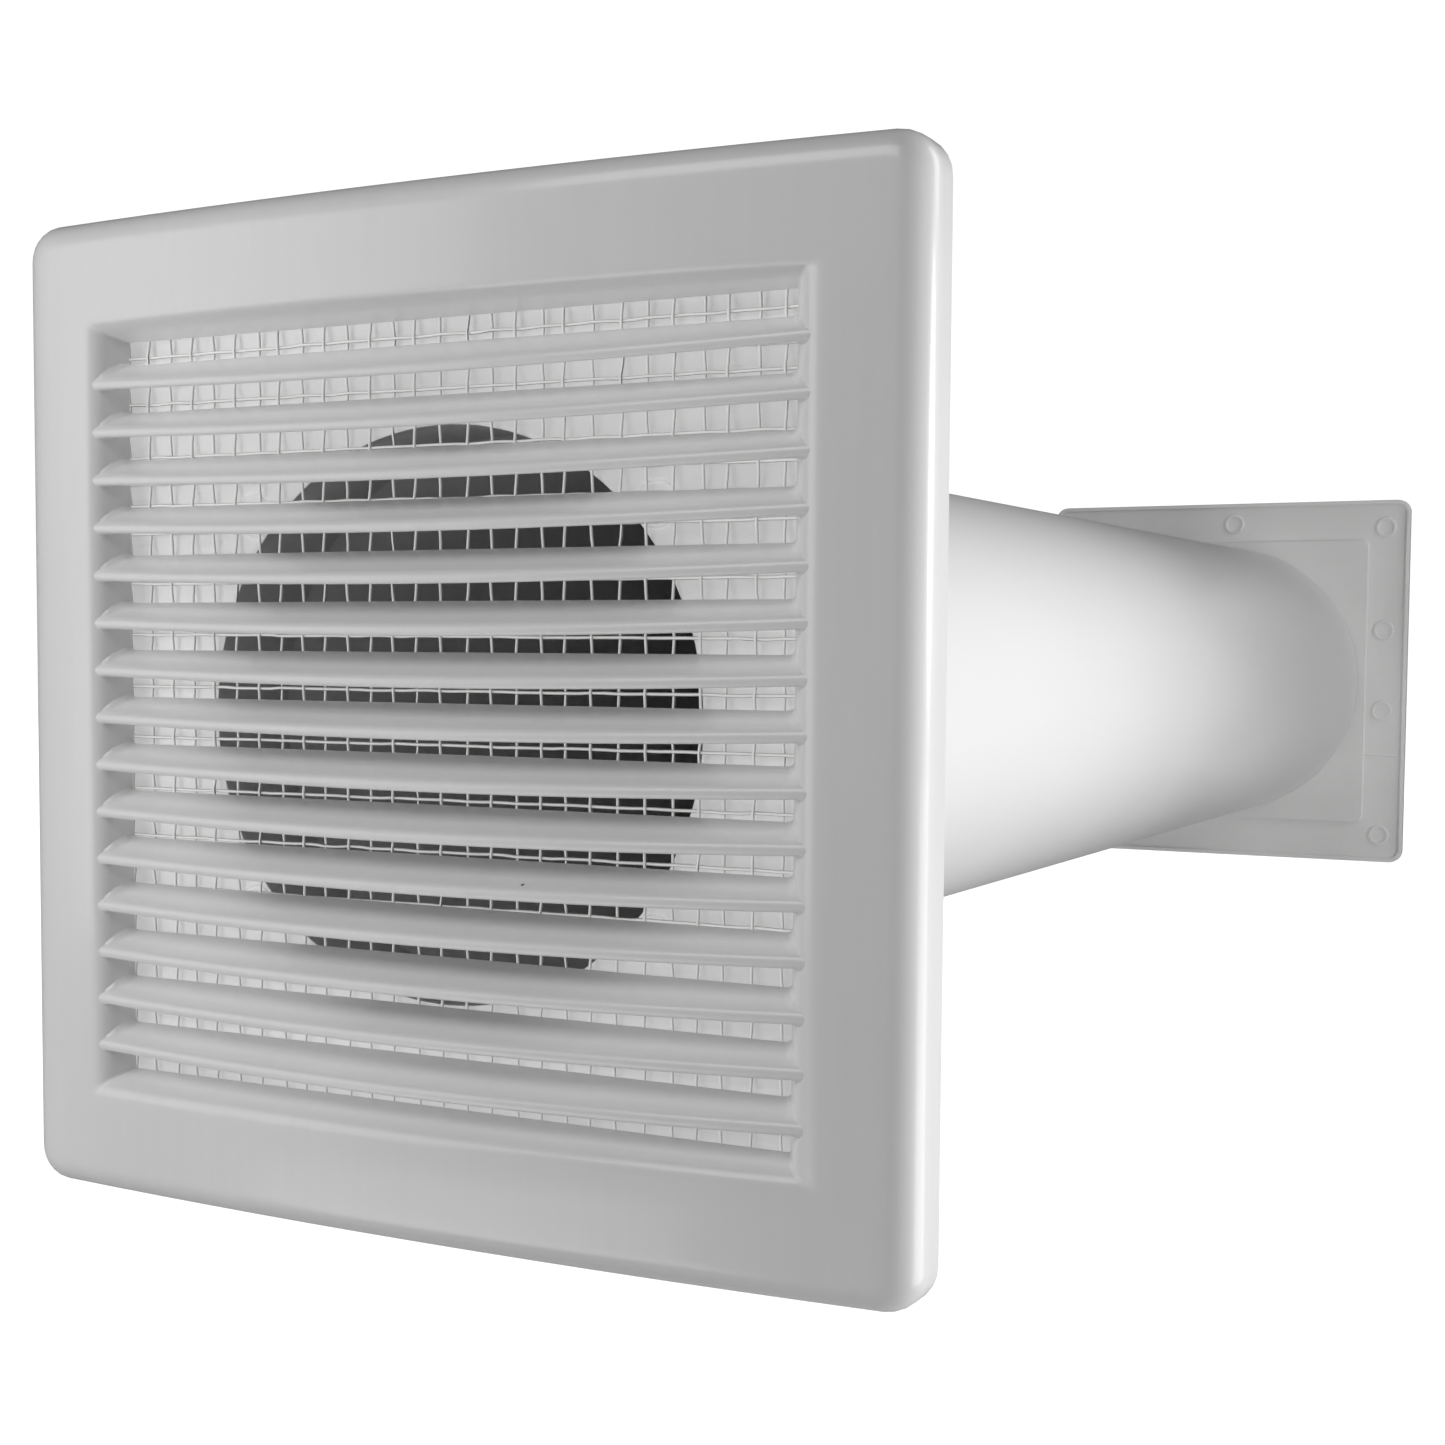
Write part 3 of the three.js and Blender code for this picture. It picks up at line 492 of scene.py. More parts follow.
def cove_path(steps=9, falls=5):
    """The cove's profile as (share of its width, share of its depth), rounded over from the border."""
    pull, end, depth = 0.50, 0.27, 0.42
    path = []
    for k in range(steps + 1):
        t = k / steps
        a, m, b = (1 - t) ** 2, 2 * t * (1 - t), t * t
        path.append((a * 1.0 + m * pull + b * end, b * depth))
    for k in range(1, falls + 1):
        t = k / falls
        path.append((end * (1 - t), depth + (1 - depth) * t))
    return path


def grille_frame():
    edge = (HALF, TOP, BOTTOM, CORNER)
    rings = [
        square_ring(90.6, 90.4, -90.6, 5, -6.2),
        square_ring(90.6, 90.4, -90.6, 5, -0.2),
        square_ring(91.0, 90.7, -91.0, 5.3, 0),
        square_ring(92.5, 92.1, -92.5, 6.6, 0),
        square_ring(*edge, -0.4),
        square_ring(*edge, -2.5),
    ]
    outer = [square_ring(*edge, ROLL_START)]
    for k in range(1, 13):
        a = k / 12 * 90 * PHI
        inset = ROLL * (1 - math.cos(a))
        y = ROLL_START - ROLL * math.sin(a)
        outer.append(square_ring(HALF - inset, TOP - inset, BOTTOM + inset, max(CORNER - inset, 2.0), y))
    for half in (86, 84, 82, 80.5):
        outer.append(square_ring(half, half - 0.3, -half, 1.6, FRONT))
    rings += [bowed(ring) for ring in outer]
    for share, fall in cove_path():
        ring = []
        corner = 0.4 + 0.8 * share
        side, high, low = WELL_SIDE + COVE * share, 69.5 + 4.2 * share, -69.3 - 5.2 * share
        for x, _, z in square_ring(side, high, low, corner, 0):
            front = FRONT - bow(x)
            ring.append((x - WELL_SHIFT * (1 - share), front + (WELL_BACK - front) * fall, z))
        rings.append(ring)
    lip = square_ring(WELL_SIDE + 0.2, 69.7, -69.5, 0.4, WELL_BACK + 0.3)
    rings.append([(x - WELL_SHIFT, y, z) for x, y, z in lip])
    rings += squares((77.5, 1.0, WELL_BACK + 0.3))
    rings += [bowed(ring) for ring in squares((77.5, 1.0, -7.4), (85, 1.0, -7.4))]
    rings += squares((85, 1.0, -6.2))
    return rings


def cove_width(y, x):
    """How far the side cove stands out of the louvre field at depth y, in mm."""
    front = FRONT - bow(x)
    fall = (y - front) / (WELL_BACK - front)
    path = cove_path()
    for (s0, f0), (s1, f1) in zip(path, path[1:]):
        if f0 <= fall <= f1:
            return COVE * (s0 + (s1 - s0) * (fall - f0) / max(f1 - f0, 1e-9))
    return 0.0 if fall > 1 else COVE


def blade_outline(back_edge, front):
    """One louvre's section as (kind, y, z): upper face, broad rounded nose, underside."""
    slope, nose_r, heel_r = 0.52, 1.6, 0.4
    tilt = math.atan2(1, slope)  # the upper face's normal, above straight ahead

    def top(y):
        return back_edge - slope * (WELL_BACK - y)

    cy = front + nose_r
    start_y = cy - nose_r * math.cos(tilt)
    cz = top(start_y) - nose_r * math.sin(tilt)
    points = []
    for k in range(8):
        y = WELL_BACK + (start_y - WELL_BACK) * k / 7
        points.append(("up", y, top(y)))
    stop = -24 * PHI
    for k in range(1, 12):
        a = tilt + (stop - tilt) * k / 11
        points.append(("nose", cy - nose_r * math.cos(a), cz + nose_r * math.sin(a)))
    # The heel turns from the nose to the underside.
    hy = cy - (nose_r - heel_r) * math.cos(stop)
    hz = cz + (nose_r - heel_r) * math.sin(stop)
    last = stop - 95 * PHI
    for k in range(1, 7):
        a = stop + (last - stop) * k / 6
        points.append(("heel", hy - heel_r * math.cos(a), hz + heel_r * math.sin(a)))
    _, y0, z0 = points[-1]
    for k in range(1, 7):
        t = k / 6
        points.append(("under", y0 + (WELL_BACK - y0) * t, z0 + (back_edge - 1.5 - z0) * t))
    return points


def blade_rings(back_edge):
    """One louvre: sections across it, flared where it runs into the side coves."""
    flare_r = 1.5
    inner = [0, 12, 24, 36, 46, 54, 60, 64, 66.5]
    tip = 76.6
    columns = 24
    xs = inner + [inner[-1] + (tip - inner[-1]) * k / columns for k in range(1, columns + 1)]
    xs = [-x for x in reversed(xs[1:])] + xs
    rings = []
    for x in xs:
        front = FRONT - bow(x) + 0.5
        ring = []
        for kind, y, z in blade_outline(back_edge, front):
            flare = cove_width(y, x)
            shift = math.copysign(WELL_SHIFT, x) * (1 - flare / COVE)
            wall = WELL_SIDE + flare - shift
            gap = wall - abs(x)
            lift = 0.0
            if gap < flare_r:
                lift = flare_r - math.sqrt(max(0.0, flare_r ** 2 - (flare_r - max(gap, 0.0)) ** 2))
            lift *= min(1.0, max(0.0, (y - front) / 2.2))
            lift *= 0.35 + 0.65 * min(1.0, (WELL_BACK - y) / 1.6)
            place = math.copysign(wall + 0.2, x) if gap < -0.2 else x
            if kind == "up":
                z += lift
            elif kind in ("under", "heel"):
                z -= lift
            ring.append((place, y, z))
        rings.append(ring)
    return rings


def make_grille():
    bm = bmesh.new()
    add_rings(bm, grille_frame(), closed=True)
    for k in range(15):
        add_rings(bm, blade_rings(65.2 - 8.96 * k), capped=True)
    dress(finish_mesh("louvred_grille", bm, 32), "outside_grille", "white_gloss", "outer_grille")


def add_wire(bm, points, radius, sides=6):
    rings = []
    for i, p in enumerate(points):
        ahead = Vector(points[min(i + 1, len(points) - 1)]) - Vector(points[max(i - 1, 0)])
        ahead.normalize()
        side = ahead.cross(Vector((0, 1, 0)))
        side = side.normalized() if side.length > 0.1 else Vector((1, 0, 0))
        other = side.cross(ahead)
        rings.append(tube_ring(Vector(p), side, other, radius, sides))
    add_rings(bm, rings, capped=True)


MESH_PLANE = -3.75
MESH_REACH = 72.6


def woven(number, place, crossings, start, swing, lean, wander):
    """One wire as (across, depth, along), over and under the wires that cross it."""
    points = [(place, MESH_PLANE, start)]
    lean = random.uniform(-lean, lean)
    for k, cross in enumerate(crossings):
        side = swing if (number + k) % 2 else -swing
        drift = lean * cross / 73 + random.uniform(-wander, wander)
        points.append((place + drift, MESH_PLANE + side, cross))
        if k + 1 < len(crossings):
            points.append((place + drift, MESH_PLANE, (cross + crossings[k + 1]) / 2))
    points.append((place - math.copysign(1, start) * lean, MESH_PLANE, -start))
    return points


def make_mesh():
    bm = bmesh.new()
    radius = 0.3
    swing = 0.27
    uprights = [-71.4 + 5.1 * k + random.uniform(-0.35, 0.35) for k in range(29)]
    levels = [71.6 - 4.78 * k + random.uniform(-0.3, 0.3) for k in range(31)]
    for i, x in enumerate(uprights):
        add_wire(bm, woven(i, x, levels, MESH_REACH, swing, 0.5, 0.12), radius)
    for j, z in enumerate(levels):
        wire = woven(j, z, uprights, -MESH_REACH, -swing, 0.4, 0.1)
        add_wire(bm, [(along, depth, across) for across, depth, along in wire], radius)
    dress(finish_mesh("woven_insect_mesh", bm, 60), "outside_grille", "mesh_wire", "insect_mesh")


# ---- Light, floor and the rest ----

def add_lamp(name, data, place, target, power):
    data.energy = power
    lamp = add_object(name, data)
    lamp.location = place
    lamp.rotation_euler = (Vector(target) - Vector(place)).to_track_quat("-Z", "Y").to_euler()
    return lamp


def area_light(name, place, target, size, power, size_y):
    data = bpy.data.lights.new(name, "AREA")
    data.shape = "RECTANGLE"
    data.size = size
    data.size_y = size_y
    return add_lamp(name, data, place, target, power)


def spot_light(name, place, target, cone, power, radius):
    data = bpy.data.lights.new(name, "SPOT")
    data.spot_size = cone * PHI
    data.spot_blend = 1.0
    data.shadow_soft_size = radius
    return add_lamp(name, data, place, target, power)


def make_stage():
    mesh = bpy.data.meshes.new("floor")
    corners = [(x, y, -0.62) for x, y in ((-12, -12), (12, -12), (12, 12), (-12, 12))]
    mesh.from_pydata(corners, [], [(0, 1, 2, 3)])
    floor = add_object("floor", mesh)
    m = Nodes("pale_floor", 0.9)
    m.color(m.mixed(m.ramp(m.noise((3, 3, 3)), 0, 1), (0.90, 0.90, 0.90), (0.92, 0.92, 0.92)))
    ray = m.add("LightPath").outputs["Is Camera Ray"]
    m.bsdf.inputs["Emission Color"].default_value = (1, 1, 1, 1)
    m.link(m.ramp(ray, 0.06, 1.15, 0, 1), m.bsdf.inputs["Emission Strength"])
    floor.data.materials.append(m.material)
    # The backdrop is seen as white, and lights the object more softly than that.
    world = bpy.data.worlds.new("studio")
    bpy.context.scene.world = world
    world.use_nodes = True
    tree = world.node_tree
    seen = tree.nodes["Background"]
    seen.inputs["Color"].default_value = (1, 1, 1, 1)
    seen.inputs["Strength"].default_value = 1.05
    lit = tree.nodes.new("ShaderNodeBackground")
    lit.inputs["Strength"].default_value = 0.05
    path = tree.nodes.new("ShaderNodeLightPath")
    mix = tree.nodes.new("ShaderNodeMixShader")
    tree.links.new(path.outputs["Is Camera Ray"], mix.inputs["Fac"])
    tree.links.new(lit.outputs["Background"], mix.inputs[1])
    tree.links.new(seen.outputs["Background"], mix.inputs[2])
    tree.links.new(mix.outputs["Shader"], tree.nodes["World Output"].inputs["Surface"])
    bpy.context.scene.view_settings.view_transform = "Standard"


# ---- Flange plate, pipe and base plate ----

def round_ring(radius, y):
    """A circle with one point for each of square_ring's, facing the same way."""
    ring = []
    for x, _, z in square_ring(60, 60, -60, 4, 0):
        length = math.hypot(x, z)
        ring.append((radius * x / length, y, radius * z / length))
    return ring


def sq(half, corner, y):
    return square_ring(half, half, -half, corner, y)


def squares(*specs):
    return [sq(half, corner, y) for half, corner, y in specs]


def rounds(*specs):
    return [round_ring(radius, y) for radius, y in specs]


def moved_rings(rings, y):
    return [[(px, py + y, pz) for px, py, pz in ring] for ring in rings]


def rounded_block(x0, x1, y0, y1, z0, z1, edge):
    """Rings of a block with its edges rounded."""
    cx, cz, hx, hz = (x0 + x1) / 2, (z0 + z1) / 2, (x1 - x0) / 2, (z1 - z0) / 2
    rings = []
    turns = [(edge, 0), (edge * 0.3, edge * 0.3), (0, edge)]
    depths = [(i, y0 + d) for i, d in turns] + [(i, y1 - d) for i, d in reversed(turns)]
    for inset, y in depths:
        ring = square_ring(hx - inset, hz - inset, -hz + inset, max(edge - inset, 0.03), y, 2, 3)
        rings.append([(px + cx, py, pz + cz) for px, py, pz in ring])
    return rings


def add_block(bm, *block):
    add_rings(bm, rounded_block(*block), capped=True)


def cutter(bm_maker):
    bm = bmesh.new()
    bm_maker(bm)
    return finish_mesh("cutter", bm)


def drill(profile, sides, center=(0, 0), base=WALL, turn=None):
    return cutter(lambda bm: solid_lathe(bm, profile, sides, center, base, turn))


def slot(*block):
    return cutter(lambda bm: add_block(bm, *block))


def tube_ring(middle, side, other, radius, sides):
    """Points round a wire's centre line."""
    spokes = [polar(radius, 360 * k / sides) for k in range(sides)]
    return [tuple(middle + side * u + other * v) for u, v in spokes]


def pierce(piece, cutters, bevel=0.0):
    """Cuts the tools out of a piece for good, and eases the new edges."""
    bpy.context.view_layer.update()
    for tool in cutters:
        change = piece.modifiers.new("cut", "BOOLEAN")
        change.operation = "DIFFERENCE"
        change.solver = "EXACT"
        change.object = tool
    if bevel:
        ease = piece.modifiers.new("ease", "BEVEL")
        ease.width = bevel * MM
        ease.segments = 2
        ease.limit_method = "ANGLE"
        ease.angle_limit = 42 * PHI
        ease.use_clamp_overlap = True
    bpy.context.view_layer.update()
    graph = bpy.context.evaluated_depsgraph_get()
    mesh = bpy.data.meshes.new_from_object(piece.evaluated_get(graph))
    piece.modifiers.clear()
    piece.data = mesh
    mesh.shade_smooth()
    mesh.set_sharp_from_angle(angle=34 * PHI)
    for tool in cutters:
        bpy.data.objects.remove(tool)
    return piece


def reopened(piece):
    bm = bmesh.new()
    bm.from_mesh(piece.data)
    return bm


def four_ways(x, z):
    return [(x, z), (-x, z), (x, -z), (-x, -z)]


def make_flange_plate():
    bm = bmesh.new()
    face = squares((88.4, 5, -0.02), (88.6, 5, -0.25), (88.6, 5, -2.6), (88.3, 4.8, -2.9), (88.0, 4.6, -2.9))
    bore = rounds((52.4, -2.9), (52.0, -2.9), (51.45, -2.75), (51.2, -2.3), (51.2, 17.6))
    spigot = rounds((51.4, 18), (52.1, 18), (52.4, 17.6), (52.4, -1.3))
    back = squares((85.6, 3, -1.3), (85.6, 3, -0.2), (85.8, 3.1, -0.02))
    add_rings(bm, face + bore + spigot + back, closed=True)
    piece = finish_mesh("flange_plate", bm, 34)
    holes = []
    for x, z in four_ways(80, 80):
        hole = [(0, -6), (2.25, -6), (2.25, 2), (0, 2)]
        holes.append(drill(hole, 24, (x, z), 0.0))
    pierce(piece, holes)
    bm = reopened(piece)
    for x, z in four_ways(42.4, 36.4):
        add_lathe(bm, filleted([(3.55, -2.85), (3.7, -3.22), (4.15, -3.22), (4.3, -2.85)], 0.1), 40, (x, z))
    for x0, x1, z0, z1 in ((-9, 9, 87.6, 90), (-90, -87.6, -9, 9), (-9, 9, -90, -87.6), (87.6, 90, -9, 9)):
        add_block(bm, x0, x1, -2.9, -0.6, z0, z1, 0.4)
    write_mesh(piece.data, bm, 34)
    dress(piece, "root", "white_gloss", "outer_flange_plate", look="plate")


def make_pipe():
    profile = [(52.8, -1.0), (55, -1.0), (55, WALL - 0.3), (52.8, WALL - 0.3)]
    dress(lathe("duct_pipe", profile, 0.3, 144), "root", "pipe_white", "wall_sleeve")
    profile = [(56, -0.98), (69, -0.98), (69, -0.02), (56, -0.02)]
    dress(lathe("foam_gasket", profile, 0.2, 96), "root", "foam", "outer_gasket")
    lips = [(50.1, -70), (50.6, -70), (52.4, -68.8), (50.8, -68.2), (52.5, -65.9),
            (50.8, -65.3), (52.4, -63), (50.8, -62.4), (50.6, -60), (50.1, -60)]
    dress(lathe("lip_seal", lips, 0.2, 96, base=WALL), "root", "rubber", "spigot_seal")


def add_mark(bm, x, z, y, inner, outer, rise):
    """A thin raised ring on a face that looks towards -Y."""
    profile = [(inner, y + 0.2), (inner + 0.12, y - rise), (outer - 0.12, y - rise), (outer, y + 0.2)]
    add_lathe(bm, filleted(profile, 0.08, 2), 36, (x, z))


def make_base_plate():
    bm = bmesh.new()
    band = squares((73.8, 5, 3), (74, 5, 2.7), (74, 5, 0.3), (73.75, 5, 0.03), (72.7, 4, 0.03),
                   (72.4, 4, 0.25), (72.4, 4, 0.85), (72.0, 4, 1.05))
    field = squares((58.4, 3, 1.05), (58.05, 3, 0.9), (57.95, 3, 0.2), (57.7, 3, 0.02), (57.4, 3, 0.02))
    duct = rounds((50.5, 0.02), (50.2, 0.02), (49.85, -0.2), (49.8, -0.8), (49.8, -40), (49.8, -79.6),
                  (49.4, -80), (48.7, -80), (48.3, -79.6), (48.3, -40), (48.3, -3.4), (48.55, -1.8))
    inlet = rounds((49.3, 0.2), (50.6, 2.2), (52.2, 3.7), (53.3, 4.35), (53.8, 4.2), (54.0, 3.4), (54.3, 3))
    wall = squares((66.6, 3, 3), (66.9, 3, 3.3), (66.9, 3, 8.7), (67.2, 3.2, 9), (68.1, 3.8, 9),
                   (68.4, 4, 8.7), (68.4, 4, 3.3), (68.7, 4, 3))
    add_rings(bm, moved_rings(band + field + duct + inlet + wall, WALL), closed=True)
    piece = finish_mesh("fan_base", bm, 34)
    tools = [
        drill([(0, -3), (7, -3), (7, 8), (0, 8)], 40, CABLE),
        drill([(0, -3), (9.2, -3), (9.2, 1.4), (0, 1.4)], 40, CABLE),
        slot(9, 20, WALL - 53, WALL - 46, -53, -44, 0.2),
    ]
    for x in LEADS.values():
        z = -math.sqrt(LEAD_CIRCLE ** 2 - x ** 2)
        hole = [(0, -6), (1.35, -6), (1.35, 7), (0, 7)]
        tools.append(drill(hole, 20, (x, z)))
    pierce(piece, tools)
    bm = reopened(piece)
    for x, z in ((64.5, 63), (64.5, -63), (-64.5, 63), (-64.5, -63), (64.5, 21), (64.5, -12), (3, 65.5)):
        add_mark(bm, x, z, WALL + 1.05, 2.9, 4.1, 0.5)
    add_block(bm, 57, 73, WALL + 0.75, WALL + 1.5, -30.4, -29.6, 0.15)
    write_mesh(piece.data, bm, 34)
    dress(piece, "root", "base_plastic", "fan_base_plate")


# ---- Damper ----

PIN_Y = WALL - 87.6  # the damper pin


def stood_up(p):
    """Lays a turned piece's Y axis along Z, on the damper pin."""
    x, y, z = p
    return (x, PIN_Y + z, y)


def polar(r, degrees):
    return r * math.cos(degrees * PHI), r * math.sin(degrees * PHI)


def turned_about_y(points, degrees):
    c, s = polar(1, degrees)
    return [(x * c - z * s, y, x * s + z * c) for x, y, z in points]


def add_bar(bm, x0, x1, y0, y1, half, degrees, edge):
    """A rounded bar standing out from the axis at an angle."""
    rings = rounded_block(x0, x1, y0, y1, -half, half, edge)
    add_rings(bm, [turned_about_y(ring, degrees) for ring in rings], capped=True)


def add_slab(bm, loops, y0, y1, edge=0.15):
    """A flat plate from y0 to y1: loops of (x, z), the first its outline, the others its holes."""
    levels = [(edge, y0), (0, y0 + edge), (0, y1 - edge), (edge, y1)]
    caps = {0: [], 3: []}
    for number, loop in enumerate(loops):
        count = len(loop)
        area = sum(loop[i - 1][0] * loop[i][1] - loop[i][0] * loop[i - 1][1] for i in range(count))
        inward = (1 if area > 0 else -1) * (1 if number == 0 else -1)
        made = []
        for inset, y in levels:
            ring = []
            for i, (x, z) in enumerate(loop):
                ahead = Vector(loop[(i + 1) % count]) - Vector(loop[i - 1])
                side = Vector((-ahead.y, ahead.x)).normalized() * inset * inward
                ring.append(bm.verts.new(Vector((x + side.x, y, z + side.y)) * MM))
            made.append(ring)
        for a, b in zip(made, made[1:]):
            for i in range(count):
                j = (i + 1) % count
                bm.faces.new((a[i], a[j], b[j], b[i]))
        for level in caps:
            ring = made[level]
            caps[level] += [bm.edges.get((ring[i - 1], ring[i])) for i in range(count)]
    for edges in caps.values():
        bmesh.ops.triangle_fill(bm, use_beauty=True, edges=edges)


def circle(radius, sides):
    return [polar(radius, 360 * k / sides) for k in range(sides)]


def make_damper():
    profile = [(45.5, -94), (49.8, -94), (49.8, -80.3), (48, -80.3), (48, -75), (45.5, -75), (45.5, -85),
               (42.5, -85), (42.5, -86.6), (45.5, -86.6)]
    piece = lathe("damper_ring", profile, 0.3, 96, base=WALL)
    pin_bore = drill([(0, -60), (1.1, -60), (1.1, 60), (0, 60)], 24, base=0.0, turn=stood_up)
    pocket = slot(-3, 3, WALL - 95, WALL - 85, 42, 45.5, 0.2)
    pierce(piece, [pin_bore, pocket])
    bm = reopened(piece)
    add_block(bm, -2.2, 2.2, WALL - 84.6, WALL - 80.6, -45.9, 45.9, 0.5)
    write_mesh(piece.data, bm, 34)
    dress(piece, "root", "inner_plastic", "damper_frame")

    bm = bmesh.new()
    solid_lathe(bm, [(0, -49), (0.7, -49), (1, -48.7), (1, 48.7), (0.7, 49), (0, 49)], 24, turn=stood_up)
    dress(finish_mesh("hinge_pin", bm, 30), "root", "steel", "damper_pin")

    bm = bmesh.new()
    coil = []
    for k in range(111):
        x, depth = polar(1.72, k / 110 * 5 * 360)
        coil.append((x, PIN_Y + depth, 40.8 + 3.0 * k / 110))
    add_wire(bm, coil, 0.27, 8)
    dress(finish_mesh("coil_spring", bm, 50), "root", "steel", "damper_spring")

    make_flap("flap_left", -1, [(8, 24), (-24, -8)], "left_flap", "damper_flap_left")
    make_flap("flap_right", 1, [(-7, 7), (25, 40), (-40, -25)], "right_flap", "damper_flap_right")


def make_flap(name, side, knuckles, body, node):
    reach = math.degrees(math.acos(3.4 / 44.9))
    arc = [polar(44.9, -reach + 2 * reach * k / 72) for k in range(73)]
    chord = [(3.4, 44.0 - 88.0 * k / 24) for k in range(1, 24)]
    bm = bmesh.new()
    add_slab(bm, [[(side * x, z) for x, z in arc + chord]], PIN_Y - 0.6, PIN_Y + 0.6, 0.2)
    for z0, z1 in knuckles:
        barrel = filleted([(1.06, z0), (2.6, z0), (2.6, z1), (1.06, z1)], 0.25, 3)
        rings = []
        for r, z in barrel:
            rings.append([stood_up((polar(r, 10 * k)[0], z, polar(r, 10 * k)[1])) for k in range(36)])
        add_rings(bm, rings, closed=True)
        x0, x1 = (1.9, 4.4) if side > 0 else (-4.4, -1.9)
        add_block(bm, x0, x1, PIN_Y - 0.6, PIN_Y + 0.6, z0, z1, 0.15)
    dress(finish_mesh(name, bm, 30), body, "inner_plastic", node)


# ---- Motor and impeller ----

LUGS = [polar(33.5, a) for a in (-30, 90, 210)]


def make_motor():
    bm = bmesh.new()
    rim = filleted([(46.2, -74), (48, -74), (48, -58), (46.2, -58)], 0.4)
    add_lathe(bm, rim, 96, base=WALL)
    cup = [(0, -74), (29.6, -74), (30.2, -73.7), (30.5, -73.1), (30.5, -46.3), (30.2, -46),
           (29.3, -46), (29, -46.3), (29, -71.4), (28.4, -72), (7.1, -72), (6.5, -71.4),
           (6.5, -66.8), (6.2, -66.5), (4.6, -66.5), (4.3, -66.8), (4.3, -72), (0, -72)]
    solid_lathe(bm, cup, 72, base=WALL)
    for k in range(4):
        add_bar(bm, 29.5, 47.0, WALL - 73.9, WALL - 60, 1.2, -75 + 90 * k, 0.4)
    for x, z in LUGS:
        lug = [(0, -58), (2.8, -58), (3.4, -57.4), (3.4, -46.3), (3.1, -46.05), (1.8, -46.05), (1.6, -46.3),
               (1.6, -56), (0, -56)]
        solid_lathe(bm, lug, 28, (x, z), WALL)
    dress(finish_mesh("motor_cup", bm, 34), "root", "inner_plastic", "motor_carrier")

    outline = []
    shoe_r, slot_r, neck, shoe, step = 16.2, 23.5, 4.0, 37, 90
    for k in range(4):
        pole = k * step
        at_shoe = math.degrees(math.asin(neck / shoe_r))
        at_slot = math.degrees(math.asin(neck / slot_r))
        for i in range(-10, 11):
            outline.append(polar(13.7, pole + i / 10 * shoe))
        outline.append(polar(shoe_r, pole + shoe))
        outline.append(polar(shoe_r, pole + at_shoe))
        outline.append(polar(slot_r, pole + at_slot))
        for i in range(1, 8):
            outline.append(polar(slot_r, pole + at_slot + i / 8 * (step - 2 * at_slot)))
        outline.append(polar(slot_r, pole + step - at_slot))
        outline.append(polar(shoe_r, pole + step - at_shoe))
        outline.append(polar(shoe_r, pole + step - shoe))
    bm = bmesh.new()
    add_slab(bm, [circle(28.6, 96), outline], WALL - 65.5, WALL - 50.5, 0.1)
    dress(finish_mesh("stator_stack", bm, 30), "root", "laminations", "stator_core")
    for k in range(4):
        make_coil(k)

    for name, y0, y1 in (("bearing_rear", -71.5, -66.8), ("bearing_front", -45.2, -40.8)):
        ring = lathe("bush_" + name[8:], [(2.06, y0), (4, y0), (4, y1), (2.06, y1)], 0.3, 40, base=WALL)
        dress(ring, "root", "bronze", name)

    bm = bmesh.new()
    vents = []
    for k in range(8):
        middle = 22.5 + 45 * k
        vent = [(12 + 1.6, -1.6), (24 - 1.6, -1.6)]
        vent += [(22.4 + polar(1.6, -90 + 20 * i)[0], polar(1.6, -90 + 20 * i)[1]) for i in range(1, 10)]
        vent += [(13.6 + polar(1.6, 90 + 20 * i)[0], polar(1.6, 90 + 20 * i)[1]) for i in range(0, 9)]
        vents.append([(x, z) for x, _, z in turned_about_y([(x, 0, z) for x, z in vent], middle)])
    add_slab(bm, [circle(30.5, 96), circle(5.6, 48)] + vents, WALL - 45.7, WALL - 43.7, 0.25)
    boss = [(4.3, -45.6), (6.5, -45.6), (6.5, -39.5), (2.6, -39.5), (2.6, -40.5), (4.3, -40.5)]
    add_lathe(bm, filleted(boss, 0.3, 3), 48, base=WALL)
    for x, z in LUGS:
        ear = filleted([(1.6, -45.65), (3.4, -45.65), (3.4, -43.75), (1.6, -43.75)], 0.25, 3)
        add_lathe(bm, ear, 32, (x, z), WALL)
    dress(finish_mesh("motor_cap", bm, 34), "root", "inner_plastic", "motor_cover")

    for k, (x, z) in enumerate(LUGS):
        make_screw("motor", k + 1, (2.9, 1.8, 1.3, 11), (x, WALL - 43.4, z), 20 * k)

    core = [(2.06, -65), (12.9, -65), (13.3, -64.6), (13.3, -63.4), (13.1, -63.2),
            (13.1, -52.8), (13.3, -52.6), (13.3, -51.4), (12.9, -51), (2.06, -51)]
    dress(lathe("rotor_stack", core, 0.1, 64, base=WALL), "impeller", "laminations", "rotor_core")

    bm = bmesh.new()
    shaft = [(0, -71.2), (1.6, -71.2), (2, -70.8), (2, -12.2), (1.75, -12.05),
             (1.75, -10.75), (2, -10.6), (2, -10), (1.6, -9.6), (0, -9.6)]
    solid_lathe(bm, shaft, 32, base=WALL)
    dress(finish_mesh("spindle", bm, 30), "impeller", "steel", "motor_shaft")


